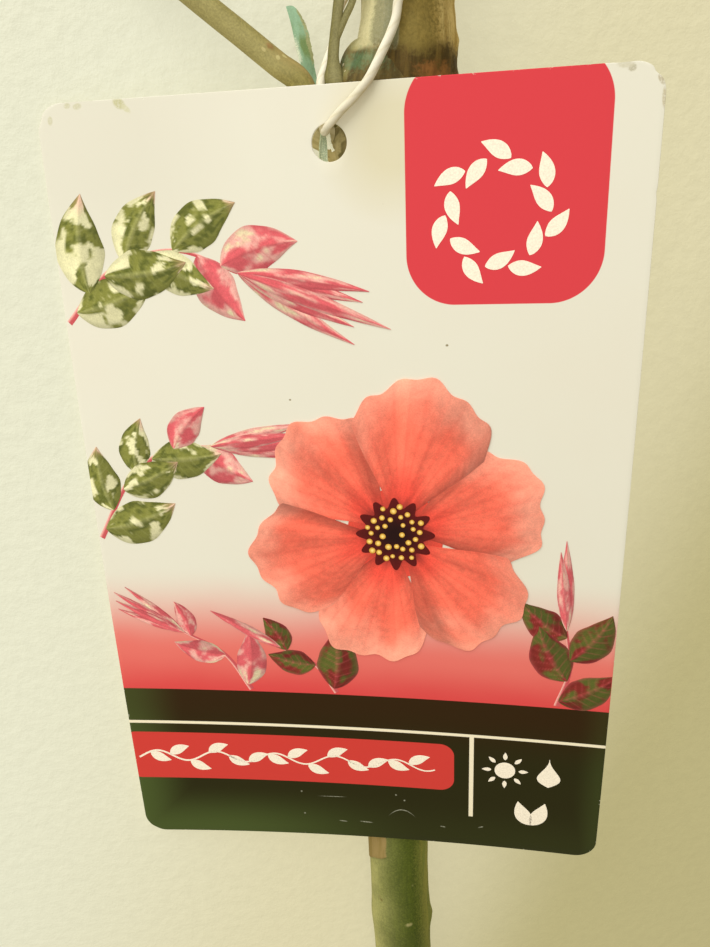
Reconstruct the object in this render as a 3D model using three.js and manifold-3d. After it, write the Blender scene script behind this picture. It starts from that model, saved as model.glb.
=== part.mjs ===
// Cut head of a grafted willow stem with its plant label, lying on its side.
// Millimetres, +Z up. The stem runs along +Y, the label lies over it, and the floor is z = 0.

import * as THREE from 'three';
import { mergeVertices } from 'three/addons/utils/BufferGeometryUtils.js';
import Module from 'manifold-3d';

const wasm = await Module();
wasm.setup();

// Driving dimensions

const FIT_GAP = 0.3;

const STEM_LENGTH = 186;
const STEM_RADIUS = 7.0;
const STEM_NECK_RADIUS = 7.5;
const STEM_FOOT_Y = -134;
const STEM_TOP_Y = STEM_FOOT_Y + STEM_LENGTH;
const STEM_NODES = [
  { y: -104, swell: 0.28, reach: 4 },
  { y: -58, swell: 0.2, reach: 6 },
  { y: -14, swell: 0.24, reach: 6 },
  { y: 30, swell: 0.22, reach: 6 },
];

const UNION_LENGTH = 32.5;
const UNION_HALF_WIDTH = 10.0;
const UNION_HALF_HEIGHT = 9.2;
const UNION_SHOULDER_RADIUS = 6.6;
const UNION_FULL_AT = 0.5;
const UNION_ROUNDS_FROM = 0.6;
const UNION_ROUNDING_POWER = 2.4;

const LEADER_RADIUS = 7.6;
const LEADER_TIP_RADIUS = 7.2;
const LEADER_BASE_Y = 76;
const LEADER_CUT_Y = 116;

const BOUGH_RADIUS = 2.05;
const BOUGH_TIP_RADIUS = 1.85;
const LONG_TWIG_RADIUS = 1.0;
const LONG_TWIG_TIP_RADIUS = 0.6;
const SHORT_TWIG_RADIUS = 0.5;
const SHORT_TWIG_TIP_RADIUS = 0.35;

const TAPE_WIDTH = 2.2;
const TAPE_THICKNESS = 0.4;
const WRAP_FROM_Y = 45;
const WRAP_TO_Y = 54;
const WRAP_THICKNESS = 0.5;
const WRAP_CLEARANCE = 0.45;
const WRAP_BORE_OVERRUN = 1;

const LABEL_WIDTH = 100;
const LABEL_HEIGHT = 152;
const LABEL_THICKNESS = 0.5;
const LABEL_CORNER_RADIUS = 4.5;
const LABEL_SHEET_MARGIN = 2;
const LABEL_HOLE_DIAMETER = 5.7;
const LABEL_HOLE_FROM_TOP = 8.4;
const LABEL_ROLL = THREE.MathUtils.degToRad(16.16);
const LABEL_PITCH = THREE.MathUtils.degToRad(1.25);
const LABEL_MIDDLE_HEIGHT = 15.45;
const LABEL_BEND = { side: 1.03, sideLower: 0.83, ends: -1.32, twist: -1.78 };

const TIE_DIAMETER = 1.3;
const TIE_KNOT_RADIUS = 1.5;
const TIE_KNOT_GAP = 0.45;

// Facets of each piece: round it and along it

const FACETS = {
  stem: { sides: 24, steps: 40 },
  union: { sides: 28, steps: 16 },
  leader: { sides: 24, steps: 12 },
  bough: { sides: 14, steps: 32 },
  longTwig: { sides: 8, steps: 16 },
  shortTwig: { sides: 8, steps: 8 },
  wrap: { sides: 24, steps: 3 },
  wrapBore: { sides: 24, steps: 5 },
  tail: { sides: 2, steps: 24 },
  tie: { sides: 8, steps: 80 },
  knot: { sides: 12, steps: 8 },
  label: { columns: 12, rows: 18, arc: 6 },
};

// Routes through the middle of each limb, cord and strip

const TRUNK_ROUTE = [
  [9.3, STEM_FOOT_Y, 7.2],
  [8.9, -84, 7.3],
  [9.8, -10, 7.5],
  [11.0, 48, 8.8],
  [11.7, 68, 9.3],
  [12.6, 79, 9.35],
  [13.2, STEM_TOP_Y + UNION_LENGTH, 9.6],
];
const LEADER_ROUTE = [
  [13.8, LEADER_BASE_Y, 9.6],
  [14.5, 86, 9.9],
  [15.2, 101, 10.2],
  [15.8, LEADER_CUT_Y, 10.4],
];
const BOUGH_ROUTE = [
  [6.5, 59.5, 9.2],
  [3.4, 63.3, 9.8],
  [1.1, 66.0, 10.2],
  [-1.0, 68.8, 10.3],
  [-2.4, 72.3, 10.4],
  [-3.4, 77.2, 10.0],
  [-6.7, 80.0, 9.1],
  [-12.3, 84.8, 7.6],
  [-18.2, 89.8, 6.0],
  [-29, 99, 3.8],
  [-39, 107.5, 2.15],
];
const LONG_TWIG_ROUTE = [
  [4.8, 68, 11.0],
  [2.9, 70.5, 11.4],
  [2.1, 73.2, 11.8],
  [2.05, 76.7, 12.1],
  [3.0, 87.9, 13.1],
  [4.4, 97, 13.7],
  [5.4, 107, 14.1],
];
const SHORT_TWIG_ROUTE = [
  [2.8, 83.0, 12.7],
  [4.3, 85.5, 13.1],
  [5.5, 87.8, 13.4],
  [6.5, 93.5, 14.9],
];
const TIE_ROUTE = [
  [18.2, 96.2, 18.5],
  [16.6, 95.3, 18.8],
  [14.6, 93.0, 18.7],
  [12.9, 90.2, 18.6],
  [11.3, 86.5, 18.4],
  [10.7, 84.2, 18.5],
  [9.7, 81.8, 18.8],
  [8.7, 79.9, 19.0],
  [7.5, 78.2, 19.1],
  [6.2, 76.3, 19.1],
  [5.0, 74.7, 18.85],
  [3.7, 73.2, 18.4],
  [2.3, 72.0, 18.0],
  [1.0, 70.9, 17.6],
  [0.05, 69.8, 16.9],
  [-0.3, 69.25, 15.8],
  [-0.4, 69.6, 14.6],
  [-0.45, 71.6, 14.2],
  [-0.3, 74.2, 13.7],
  [0.0, 76.6, 12.6],
  [0.75, 78.4, 10.7],
  [1.4, 79.9, 9.3],
  [2.1, 83.4, 7.2],
  [2.9, 86.9, 5.0],
  [5.6, 91.0, 2.8],
  [10.2, 94.5, 1.35],
  [15.4, 96.4, 1.1],
  [20.2, 97.4, 2.5],
  [23.6, 97.9, 6.2],
  [24.4, 98.1, 10.8],
  [23.7, 98.1, 14.4],
  [22.8, 97.9, 16.6],
  [21.6, 97.5, 17.6],
];
const TAPE_ROUTE = [
  { at: [4.6, 54.6, 14.2], lean: 30 },
  { at: [2.8, 59.5, 14.2], lean: 30 },
  { at: [1.2, 64.0, 13.5], lean: 15 },
  { at: [0.4, 67.5, 13.1], lean: -15 },
  { at: [0.15, 70.4, 12.45], lean: -30 },
  { at: [0.5, 72.4, 11.3], lean: -85 },
  { at: [0.3, 75.4, 8.6], lean: -80 },
  { at: [-1.2, 78.5, 6.3], lean: -45 },
  { at: [-2.0, 82.3, 5.0], lean: -15 },
  { at: [-2.6, 85.7, 4.4], lean: 0 },
  { at: [-4.1, 89.4, 3.9], lean: 10 },
];

// Curves and closed meshes

const UP = new THREE.Vector3(0, 0, 1);
const SHARE_STEP = 1e-6;
const MERGE_DISTANCE = 1e-4;

function curveThrough(points) {
  const places = points.map((point) => new THREE.Vector3(...point));
  return new THREE.CatmullRomCurve3(places, false, 'centripetal');
}

// Frame across a route that never runs straight up: side is level, over points upwards.
function crossFrame(route, share) {
  const along = route.getTangentAt(share);
  const side = new THREE.Vector3().crossVectors(along, UP).normalize();
  const over = new THREE.Vector3().crossVectors(side, along);
  return { side, over };
}

// A cylinder carried along a stretch of a route; its section gives the half width and half height there.
function limb(route, section, { sides, steps }, from = 0, to = 1) {
  const geometry = new THREE.CylinderGeometry(1, 1, 1, sides, steps);
  const position = geometry.attributes.position;
  for (let i = 0; i < position.count; i += 1) {
    const share = THREE.MathUtils.lerp(from, to, position.getY(i) + 0.5);
    const place = route.getPointAt(share);
    const { side, over } = crossFrame(route, share);
    const { wide, high } = section(share, place.y);
    place.addScaledVector(side, position.getX(i) * wide);
    place.addScaledVector(over, position.getZ(i) * high);
    position.setXYZ(i, place.x, place.y, place.z);
  }
  return bareGeometry(geometry);
}

// Share of a route's length at which it passes a given y.
function shareAt(route, y) {
  let low = 0;
  let high = 1;
  while (high - low > SHARE_STEP) {
    const middle = (low + high) / 2;
    if (route.getPointAt(middle).y < y) low = middle;
    else high = middle;
  }
  return low;
}

function bareGeometry(geometry) {
  geometry.deleteAttribute('normal');
  geometry.deleteAttribute('uv');
  return mergeVertices(geometry, MERGE_DISTANCE);
}

function toSolid(geometry) {
  const vertProperties = new Float32Array(geometry.attributes.position.array);
  const triVerts = new Uint32Array(geometry.index.array);
  return new wasm.Manifold(new wasm.Mesh({ numProp: 3, vertProperties, triVerts }));
}

function toGeometry(solid) {
  const mesh = solid.getMesh();
  const geometry = new THREE.BufferGeometry();
  geometry.setAttribute('position', new THREE.BufferAttribute(mesh.vertProperties, 3));
  geometry.setIndex(new THREE.BufferAttribute(mesh.triVerts, 1));
  return geometry;
}

function round(radius) {
  return { wide: radius, high: radius };
}

function taper(from, to) {
  return (share) => round(THREE.MathUtils.lerp(from, to, share));
}

// Sections of the trunk, by the place's y

function stemSection(share, y) {
  const swells = STEM_NODES.map((node) => node.swell * Math.exp(-(((y - node.y) / node.reach) ** 2)));
  const neck = (STEM_NECK_RADIUS - STEM_RADIUS) * Math.max(0, (y - STEM_FOOT_Y) / STEM_LENGTH) ** 3;
  return round(swells.reduce((sum, swell) => sum + swell, STEM_RADIUS + neck));
}

// The union swells from the neck to its full girth and rounds off at the shoulder.
function unionSection(extra) {
  return (share, y) => {
    const reach = (y - STEM_TOP_Y) / UNION_LENGTH;
    const rise = THREE.MathUtils.smoothstep(reach, 0, UNION_FULL_AT);
    const rounding = Math.max(0, (reach - UNION_ROUNDS_FROM) / (1 - UNION_ROUNDS_FROM));
    const fall = rounding ** UNION_ROUNDING_POWER;
    const girth = (full) => {
      const swollen = THREE.MathUtils.lerp(STEM_NECK_RADIUS, full, rise);
      return THREE.MathUtils.lerp(swollen, UNION_SHOULDER_RADIUS, fall) + extra;
    };
    return { wide: girth(UNION_HALF_WIDTH), high: girth(UNION_HALF_HEIGHT) };
  };
}

// Limbs

const trunk = curveThrough(TRUNK_ROUTE);
const leaderAxis = curveThrough(LEADER_ROUTE);

function stem() {
  return limb(trunk, stemSection, FACETS.stem, 0, shareAt(trunk, STEM_TOP_Y));
}

function unionLimb(extra) {
  return limb(trunk, unionSection(extra), FACETS.union, shareAt(trunk, STEM_TOP_Y + FIT_GAP));
}

function leaderLimb(extra, from) {
  const section = taper(LEADER_RADIUS + extra, LEADER_TIP_RADIUS + extra);
  return limb(leaderAxis, section, FACETS.leader, from);
}

function leader() {
  return leaderLimb(0, shareAt(leaderAxis, LEADER_BASE_Y + FIT_GAP));
}

function graftUnion() {
  return toGeometry(toSolid(unionLimb(0)).subtract(toSolid(leaderLimb(FIT_GAP, 0))));
}

function leftBough() {
  const section = taper(BOUGH_RADIUS, BOUGH_TIP_RADIUS);
  const bough = toSolid(limb(curveThrough(BOUGH_ROUTE), section, FACETS.bough));
  return toGeometry(bough.subtract(toSolid(unionLimb(FIT_GAP))));
}

function longTwigLimb(extra) {
  const section = taper(LONG_TWIG_RADIUS + extra, LONG_TWIG_TIP_RADIUS + extra);
  return toSolid(limb(curveThrough(LONG_TWIG_ROUTE), section, FACETS.longTwig));
}

function longTwig() {
  return toGeometry(longTwigLimb(0).subtract(toSolid(unionLimb(FIT_GAP))));
}

function shortTwig() {
  const section = taper(SHORT_TWIG_RADIUS, SHORT_TWIG_TIP_RADIUS);
  const twig = toSolid(limb(curveThrough(SHORT_TWIG_ROUTE), section, FACETS.shortTwig));
  return toGeometry(twig.subtract(longTwigLimb(FIT_GAP)));
}

// Grafting tape: a wound sleeve over the neck, and a loose tail

function wrapSleeve() {
  const inner = STEM_NECK_RADIUS + WRAP_CLEARANCE;
  const outer = inner + WRAP_THICKNESS;
  const stretch = (extra) => [shareAt(trunk, WRAP_FROM_Y - extra), shareAt(trunk, WRAP_TO_Y + extra)];
  const outside = toSolid(limb(trunk, taper(outer, outer), FACETS.wrap, ...stretch(0)));
  const inside = toSolid(limb(trunk, taper(inner, inner), FACETS.wrapBore, ...stretch(WRAP_BORE_OVERRUN)));
  return toGeometry(outside.subtract(inside));
}

// A thin strip whose width leans from level by the angle given along its route.
function tapeTail() {
  const route = curveThrough(TAPE_ROUTE.map((stop) => stop.at));
  const { sides, steps } = FACETS.tail;
  const geometry = new THREE.BoxGeometry(TAPE_WIDTH, 1, TAPE_THICKNESS, sides, steps, 1);
  const position = geometry.attributes.position;
  for (let i = 0; i < position.count; i += 1) {
    const share = position.getY(i) + 0.5;
    const reach = share * (TAPE_ROUTE.length - 1);
    const before = TAPE_ROUTE[Math.floor(reach)];
    const after = TAPE_ROUTE[Math.ceil(reach)];
    const lean = THREE.MathUtils.lerp(before.lean, after.lean, reach % 1);
    const { side, over } = crossFrame(route, share);
    const turn = THREE.MathUtils.degToRad(lean);
    const across = side.clone().multiplyScalar(Math.cos(turn)).addScaledVector(over, Math.sin(turn));
    const upward = over.clone().multiplyScalar(Math.cos(turn)).addScaledVector(side, -Math.sin(turn));
    const place = route.getPointAt(share);
    place.addScaledVector(across, position.getX(i));
    place.addScaledVector(upward, position.getZ(i));
    position.setXYZ(i, place.x, place.y, place.z);
  }
  return bareGeometry(geometry);
}

// Label: a card with round corners and one punched hole, cut from a slightly larger sheet and gently twisted

function labelOutline() {
  const halfWidth = LABEL_WIDTH / 2;
  const halfHeight = LABEL_HEIGHT / 2;
  const r = LABEL_CORNER_RADIUS;
  const outline = new THREE.Shape();
  outline.absarc(halfWidth - r, halfHeight - r, r, 0, Math.PI / 2);
  outline.absarc(r - halfWidth, halfHeight - r, r, Math.PI / 2, Math.PI);
  outline.absarc(r - halfWidth, r - halfHeight, r, Math.PI, Math.PI * 1.5);
  outline.absarc(halfWidth - r, r - halfHeight, r, Math.PI * 1.5, Math.PI * 2);
  const hole = new THREE.Path();
  hole.absarc(0, halfHeight - LABEL_HOLE_FROM_TOP, LABEL_HOLE_DIAMETER / 2, 0, Math.PI * 2);
  outline.holes.push(hole);
  return outline;
}

// Height of the bent card over its flat plane, from its middle: u to the right and v down, each -1 to 1.
function labelBend(x, y) {
  const u = x / (LABEL_WIDTH / 2);
  const v = -y / (LABEL_HEIGHT / 2);
  const { side, sideLower, ends, twist } = LABEL_BEND;
  return (side + sideLower * v) * u * u + ends * v * v + twist * u * v;
}

function label() {
  const { columns, rows, arc } = FACETS.label;
  const depth = LABEL_THICKNESS * 4;
  const cutter = new THREE.ExtrudeGeometry(labelOutline(), { depth, bevelEnabled: false, curveSegments: arc });
  cutter.translate(0, 0, -depth / 2);
  const width = LABEL_WIDTH + LABEL_SHEET_MARGIN;
  const height = LABEL_HEIGHT + LABEL_SHEET_MARGIN;
  const sheet = new THREE.BoxGeometry(width, height, LABEL_THICKNESS, columns, rows, 1);
  const card = toSolid(bareGeometry(sheet)).intersect(toSolid(bareGeometry(cutter)));
  const geometry = toGeometry(card);
  const position = geometry.attributes.position;
  for (let i = 0; i < position.count; i += 1) {
    position.setZ(i, position.getZ(i) + labelBend(position.getX(i), position.getY(i)));
  }
  return geometry;
}

// Tie: one loop of cord through the hole and round the leader, closed by a knot

function circleOutline(radius, sides) {
  const corners = Array.from({ length: sides }, (_, i) => {
    const angle = (i / sides) * Math.PI * 2;
    return new THREE.Vector2(Math.cos(angle) * radius, Math.sin(angle) * radius);
  });
  return new THREE.Shape(corners);
}

function tie() {
  const { sides, steps } = FACETS.tie;
  const extrudePath = curveThrough(TIE_ROUTE);
  const section = circleOutline(TIE_DIAMETER / 2, sides);
  return bareGeometry(new THREE.ExtrudeGeometry(section, { steps, bevelEnabled: false, extrudePath }));
}

// The knot sits between the two ends of the loop, a little longer than it is thick.
function tieKnot() {
  const start = new THREE.Vector3(...TIE_ROUTE[0]);
  const end = new THREE.Vector3(...TIE_ROUTE[TIE_ROUTE.length - 1]);
  const half = start.distanceTo(end) / 2 - TIE_KNOT_GAP;
  const knot = new THREE.SphereGeometry(1, FACETS.knot.sides, FACETS.knot.steps);
  knot.scale(half, TIE_KNOT_RADIUS, TIE_KNOT_RADIUS);
  const turn = new THREE.Quaternion().setFromUnitVectors(
    new THREE.Vector3(1, 0, 0),
    end.clone().sub(start).normalize(),
  );
  knot.applyQuaternion(turn);
  knot.translate(...start.add(end).multiplyScalar(0.5).toArray());
  return bareGeometry(knot);
}

// Finishes

const FINISHES = {
  stockBark: { color: 0x6f7a3a, roughness: 0.75 },
  graftWax: { color: 0x3f4a34, roughness: 0.5 },
  leaderBark: { color: 0x8a7b3c, roughness: 0.8 },
  boughBark: { color: 0x8f8a4a, roughness: 0.7 },
  twigBark: { color: 0x77703f, roughness: 0.75 },
  tape: { color: 0x76b294, roughness: 0.5 },
  labelPlastic: { color: 0xf0e8d4, roughness: 0.4 },
  tieCord: { color: 0xf2ecdc, roughness: 0.6 },
};

function piece(name, geometry, finish) {
  geometry.computeVertexNormals();
  const mesh = new THREE.Mesh(geometry, new THREE.MeshStandardMaterial({ metalness: 0, ...finish }));
  mesh.name = name;
  return mesh;
}

// Assembly

const assembly = new THREE.Group();
const labelMesh = piece('label', label(), FINISHES.labelPlastic);
labelMesh.position.z = LABEL_MIDDLE_HEIGHT;
labelMesh.rotation.set(LABEL_PITCH, -LABEL_ROLL, 0);
assembly.add(
  piece('stem', stem(), FINISHES.stockBark),
  piece('graft_union', graftUnion(), FINISHES.graftWax),
  piece('leader', leader(), FINISHES.leaderBark),
  piece('left_bough', leftBough(), FINISHES.boughBark),
  piece('long_twig', longTwig(), FINISHES.twigBark),
  piece('short_twig', shortTwig(), FINISHES.twigBark),
  piece('tape_wrap', wrapSleeve(), FINISHES.tape),
  piece('tape_tail', tapeTail(), FINISHES.tape),
  labelMesh,
  piece('tie', tie(), FINISHES.tieCord),
  piece('tie_knot', tieKnot(), FINISHES.tieCord),
);

// The origin is on the floor, under the middle of the whole piece.
const box = new THREE.Box3().setFromObject(assembly, true);
const middle = box.getCenter(new THREE.Vector3());
assembly.position.set(-middle.x, -middle.y, -box.min.z);

const part = new THREE.Group();
part.add(assembly);

export default part;
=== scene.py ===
"""Looks of a cut willow stem with its plant label, lying on a pale floor.

Shapes are worked out in millimetres in the bench frame, where the flat card's middle is over the
origin. The workbench then shifts them into the row frame, in metres.
"""

import logging
import math
from collections.abc import Sequence
from dataclasses import dataclass, field
from enum import Enum

import bpy
import numpy as np
from mathutils import Euler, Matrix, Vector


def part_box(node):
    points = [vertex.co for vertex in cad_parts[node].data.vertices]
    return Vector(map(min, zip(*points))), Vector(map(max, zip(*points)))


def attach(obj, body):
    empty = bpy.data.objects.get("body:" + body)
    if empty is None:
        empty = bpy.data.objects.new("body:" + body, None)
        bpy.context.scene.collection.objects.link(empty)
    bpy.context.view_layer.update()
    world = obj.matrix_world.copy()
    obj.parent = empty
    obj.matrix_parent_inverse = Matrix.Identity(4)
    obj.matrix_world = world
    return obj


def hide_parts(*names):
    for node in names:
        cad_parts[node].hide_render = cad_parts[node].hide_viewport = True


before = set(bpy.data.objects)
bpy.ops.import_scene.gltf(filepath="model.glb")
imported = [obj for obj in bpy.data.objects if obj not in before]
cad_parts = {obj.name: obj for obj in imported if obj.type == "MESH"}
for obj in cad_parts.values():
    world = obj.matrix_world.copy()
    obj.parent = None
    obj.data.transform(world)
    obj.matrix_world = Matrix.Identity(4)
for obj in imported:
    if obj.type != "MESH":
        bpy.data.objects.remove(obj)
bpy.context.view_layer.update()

Array = np.ndarray
Colour = tuple[int, int, int]
Place = tuple[float, float, float]
CardPlace = tuple[float, float]
Socket = bpy.types.NodeSocket
Value = Socket | float
Tone = Socket | Colour
Looks = dict[str, Socket | float | Sequence[float]]

MM = 0.001
LOG = logging.getLogger("willow")
UP = np.array([0.0, 0.0, 1.0])
BLACK: Colour = (0, 0, 0)


# Numbers and noise


def unit(values: Array) -> Array:
    """Holds values between 0 and 1."""
    return np.clip(values, 0.0, 1.0)


def bell(distance: Array) -> Array:
    """Falls from 1 at no distance, as e to the minus squared distance."""
    return np.exp(-(distance**2))


def normalised(vectors: Array) -> Array:
    """Gives vectors a length of 1."""
    return vectors / np.linalg.norm(vectors, axis=-1, keepdims=True)


def linear(colour: Colour) -> tuple[float, float, float, float]:
    """Gives a screen colour, 0 to 255 a channel, as linear red, green, blue and full alpha."""
    red, green, blue = linear_inks(np.array(colour, float)).tolist()
    return red, green, blue, 1.0


def linear_inks(inks: Array) -> Array:
    """Turns screen colours into linear ones.

    Each channel's share of 255 is raised to 2.4 after the screen's small offset, and the darkest
    shares are divided by 12.92 instead.

    Args:
        inks: Screen colours, 0 to 255, channels last.

    Returns:
        Linear colours of the same shape, 0 to 1.
    """
    share = np.clip(inks / 255.0, 0.0, 1.0)
    return np.where(share <= 0.04045, share / 12.92, ((share + 0.055) / 1.055) ** 2.4)


def smoothstep(low: float, high: float, value: Array) -> Array:
    """Rises from 0 at low to 1 at high, as three squares less two cubes of the share between."""
    share = np.clip((value - low) / (high - low), 0.0, 1.0)
    return share * share * (3.0 - 2.0 * share)


def blend(first: Array | Colour, second: Array | Colour, share: Array) -> Array:
    """Mixes two colours, or arrays of them, by a share for each point."""
    first = np.asarray(first, float)
    return first + (np.asarray(second, float) - first) * share[..., None]


def lattice_noise(across: Array, along: Array, cells: int, cell_length: float, seed: int) -> Array:
    """Smooth noise that closes round the across direction.

    A seeded number from -1 to 1 stands at each corner of a lattice, and a point takes the mean of
    its four corners, weighted by the smoothstep of its share of the cell.

    Args:
        across: Shares of one full turn, or of the width.
        along: Distances along the piece.
        cells: Number of cells in one turn.
        cell_length: Length of a cell along the piece.
        seed: Seed of the numbers.

    Returns:
        Noise from -1 to 1.
    """
    rows = 509
    table = np.random.default_rng(seed).uniform(-1.0, 1.0, (max(1, cells), rows))
    u = across * cells
    v = along / cell_length
    i, j = np.floor(u).astype(int), np.floor(v).astype(int)
    fu, fv = smoothstep(0.0, 1.0, u - i), smoothstep(0.0, 1.0, v - j)
    i0, i1 = i % cells, (i + 1) % cells
    j0, j1 = j % rows, (j + 1) % rows
    near = table[i0, j0] * (1 - fu) + table[i1, j0] * fu
    far = table[i0, j1] * (1 - fu) + table[i1, j1] * fu
    return near * (1 - fv) + far * fv


def cloud(across: Array, along: Array, cells: int, cell_length: float, seed: int, octaves: int = 3) -> Array:
    """Sums lattice noise whose cells and strength halve from one octave to the next.

    Args:
        across: Shares of one full turn, or of the width.
        along: Distances along the piece.
        cells: Number of the coarsest cells in one turn.
        cell_length: Length of such a cell.
        seed: Seed of the first octave.
        octaves: Number of octaves.

    Returns:
        Noise from -1 to 1.
    """
    total = sum(
        lattice_noise(across, along, cells * 2**k, cell_length / 2**k, seed + 17 * k) * 0.5**k
        for k in range(octaves)
    )
    return total / (2.0 - 0.5 ** (octaves - 1))


# Routes and grids


@dataclass(frozen=True)
class Route:
    """A smooth line through given points, in bench millimetres.

    Attributes:
        points: The places that the line passes through.
    """

    points: tuple[Place, ...]

    def dense(self, steps: int = 80) -> Array:
        """Follows the centripetal Catmull-Rom curve through the points.

        Each span is a cubic through its two ends. Its end tangents come from the four nearest
        points, spaced by the square roots of their distances.

        Args:
            steps: Samples in each span.

        Returns:
            Points close together on the curve.
        """
        known = np.array(self.points, float)
        line = np.vstack([2 * known[0] - known[1], known, 2 * known[-1] - known[-2]])
        gap = np.linalg.norm(np.diff(line, axis=0), axis=1)[:, None] ** 0.5
        a, b, c, d = line[:-3], line[1:-2], line[2:-1], line[3:]
        before, own, after = gap[:-2], gap[1:-1], gap[2:]
        leave = ((b - a) / before - (c - a) / (before + own) + (c - b) / own) * own
        arrive = ((c - b) / own - (d - b) / (own + after) + (d - c) / after) * own
        t = np.linspace(0.0, 1.0, steps, endpoint=False)[None, :, None]
        b, c, leave, arrive = (x[:, None] for x in (b, c, leave, arrive))
        spans = b + leave * t + (3 * (c - b) - 2 * leave - arrive) * t**2
        spans = spans + (2 * (b - c) + leave + arrive) * t**3
        return np.vstack([spans.reshape(-1, 3), known[-1]])

    def at(self, shares: Array) -> Array:
        """Places points along the line.

        Args:
            shares: Shares of the line's length.

        Returns:
            The points there.
        """
        line = self.dense()
        reach = np.concatenate([[0.0], np.cumsum(np.linalg.norm(np.diff(line, axis=0), axis=1))])
        return np.stack([np.interp(shares * reach[-1], reach, line[:, k]) for k in range(3)], axis=1)

    def length(self) -> float:
        """Gives the line's length."""
        return float(np.linalg.norm(np.diff(self.dense(), axis=0), axis=1).sum())

    def share_at(self, y: float) -> float:
        """Gives the share of the length at which a line that climbs along y passes a given y."""
        shares = np.linspace(0.0, 1.0, 2001)
        return float(np.interp(y, self.at(shares)[:, 1], shares))


def cross_frame(line: Array, up: Array = UP) -> tuple[Array, Array]:
    """Gives two directions across a line.

    The one to the side is the tangent crossed with up, and the one over is that crossed with the
    tangent.

    Args:
        line: Points of a line that never runs along up.
        up: Direction that stands for up.

    Returns:
        Unit vectors to the side and over, one for each point.
    """
    along = normalised(np.gradient(line, axis=0))
    side = normalised(np.cross(along, up))
    return side, np.cross(side, along)


def grid_faces(rows: int, columns: int, round_rows: bool = False, round_columns: bool = False) -> Array:
    """Numbers the corners of the four-sided faces of a grid, row by row.

    Args:
        rows: Rows of points.
        columns: Points in a row.
        round_rows: Whether the last row joins the first.
        round_columns: Whether the last column joins the first.

    Returns:
        Corner numbers, four to a face, from a row to the next column and back by the next row.
    """
    i = np.arange(rows if round_rows else rows - 1)[:, None]
    j = np.arange(columns if round_columns else columns - 1)[None, :]
    i1, j1 = (i + 1) % rows, (j + 1) % columns
    corners = [i * columns + j, i * columns + j1, i1 * columns + j1, i1 * columns + j]
    return np.stack(np.broadcast_arrays(*corners), axis=-1).reshape(-1, 4)


@dataclass
class Surface:
    """A closed shape: its points in bench millimetres, its faces, and values kept at its points."""

    points: Array
    faces: list[Sequence[int]]
    values: dict[str, Array] = field(default_factory=dict)


def join(surfaces: Sequence[Surface]) -> Surface:
    """Puts shapes side by side in one.

    Args:
        surfaces: The shapes, which keep values of the same names.

    Returns:
        One shape.
    """
    firsts = np.cumsum([0] + [len(s.points) for s in surfaces])
    faces = [[k + first for k in face] for s, first in zip(surfaces, firsts) for face in s.faces]
    values = {name: np.concatenate([s.values[name] for s in surfaces]) for name in surfaces[0].values}
    return Surface(np.vstack([s.points for s in surfaces]), faces, values)


def rod(grid: Array, values: dict[str, Array] | None = None) -> Surface:
    """Closes a tube of rings with a fan of triangles at each end.

    Args:
        grid: Points by ring and then round it.
        values: Values for the grid's points.

    Returns:
        The closed tube.
    """
    rows, columns = grid.shape[:2]
    faces = grid_faces(rows, columns, round_columns=True).tolist()
    first, last, size = 0, (rows - 1) * columns, rows * columns
    turn = [(j, (j + 1) % columns) for j in range(columns)]
    faces += [(size, first + after, first + j) for j, after in turn]
    faces += [(size + 1, last + j, last + after) for j, after in turn]
    middles = grid[[0, -1]].mean(axis=1)
    kept = {}
    for name, value in (values or {}).items():
        ends = value[[0, -1]].mean(axis=1)
        kept[name] = np.concatenate([value.reshape(size, *value.shape[2:]), ends])
    return Surface(np.vstack([grid.reshape(-1, 3), middles]), faces, kept)


# Nodes


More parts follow.
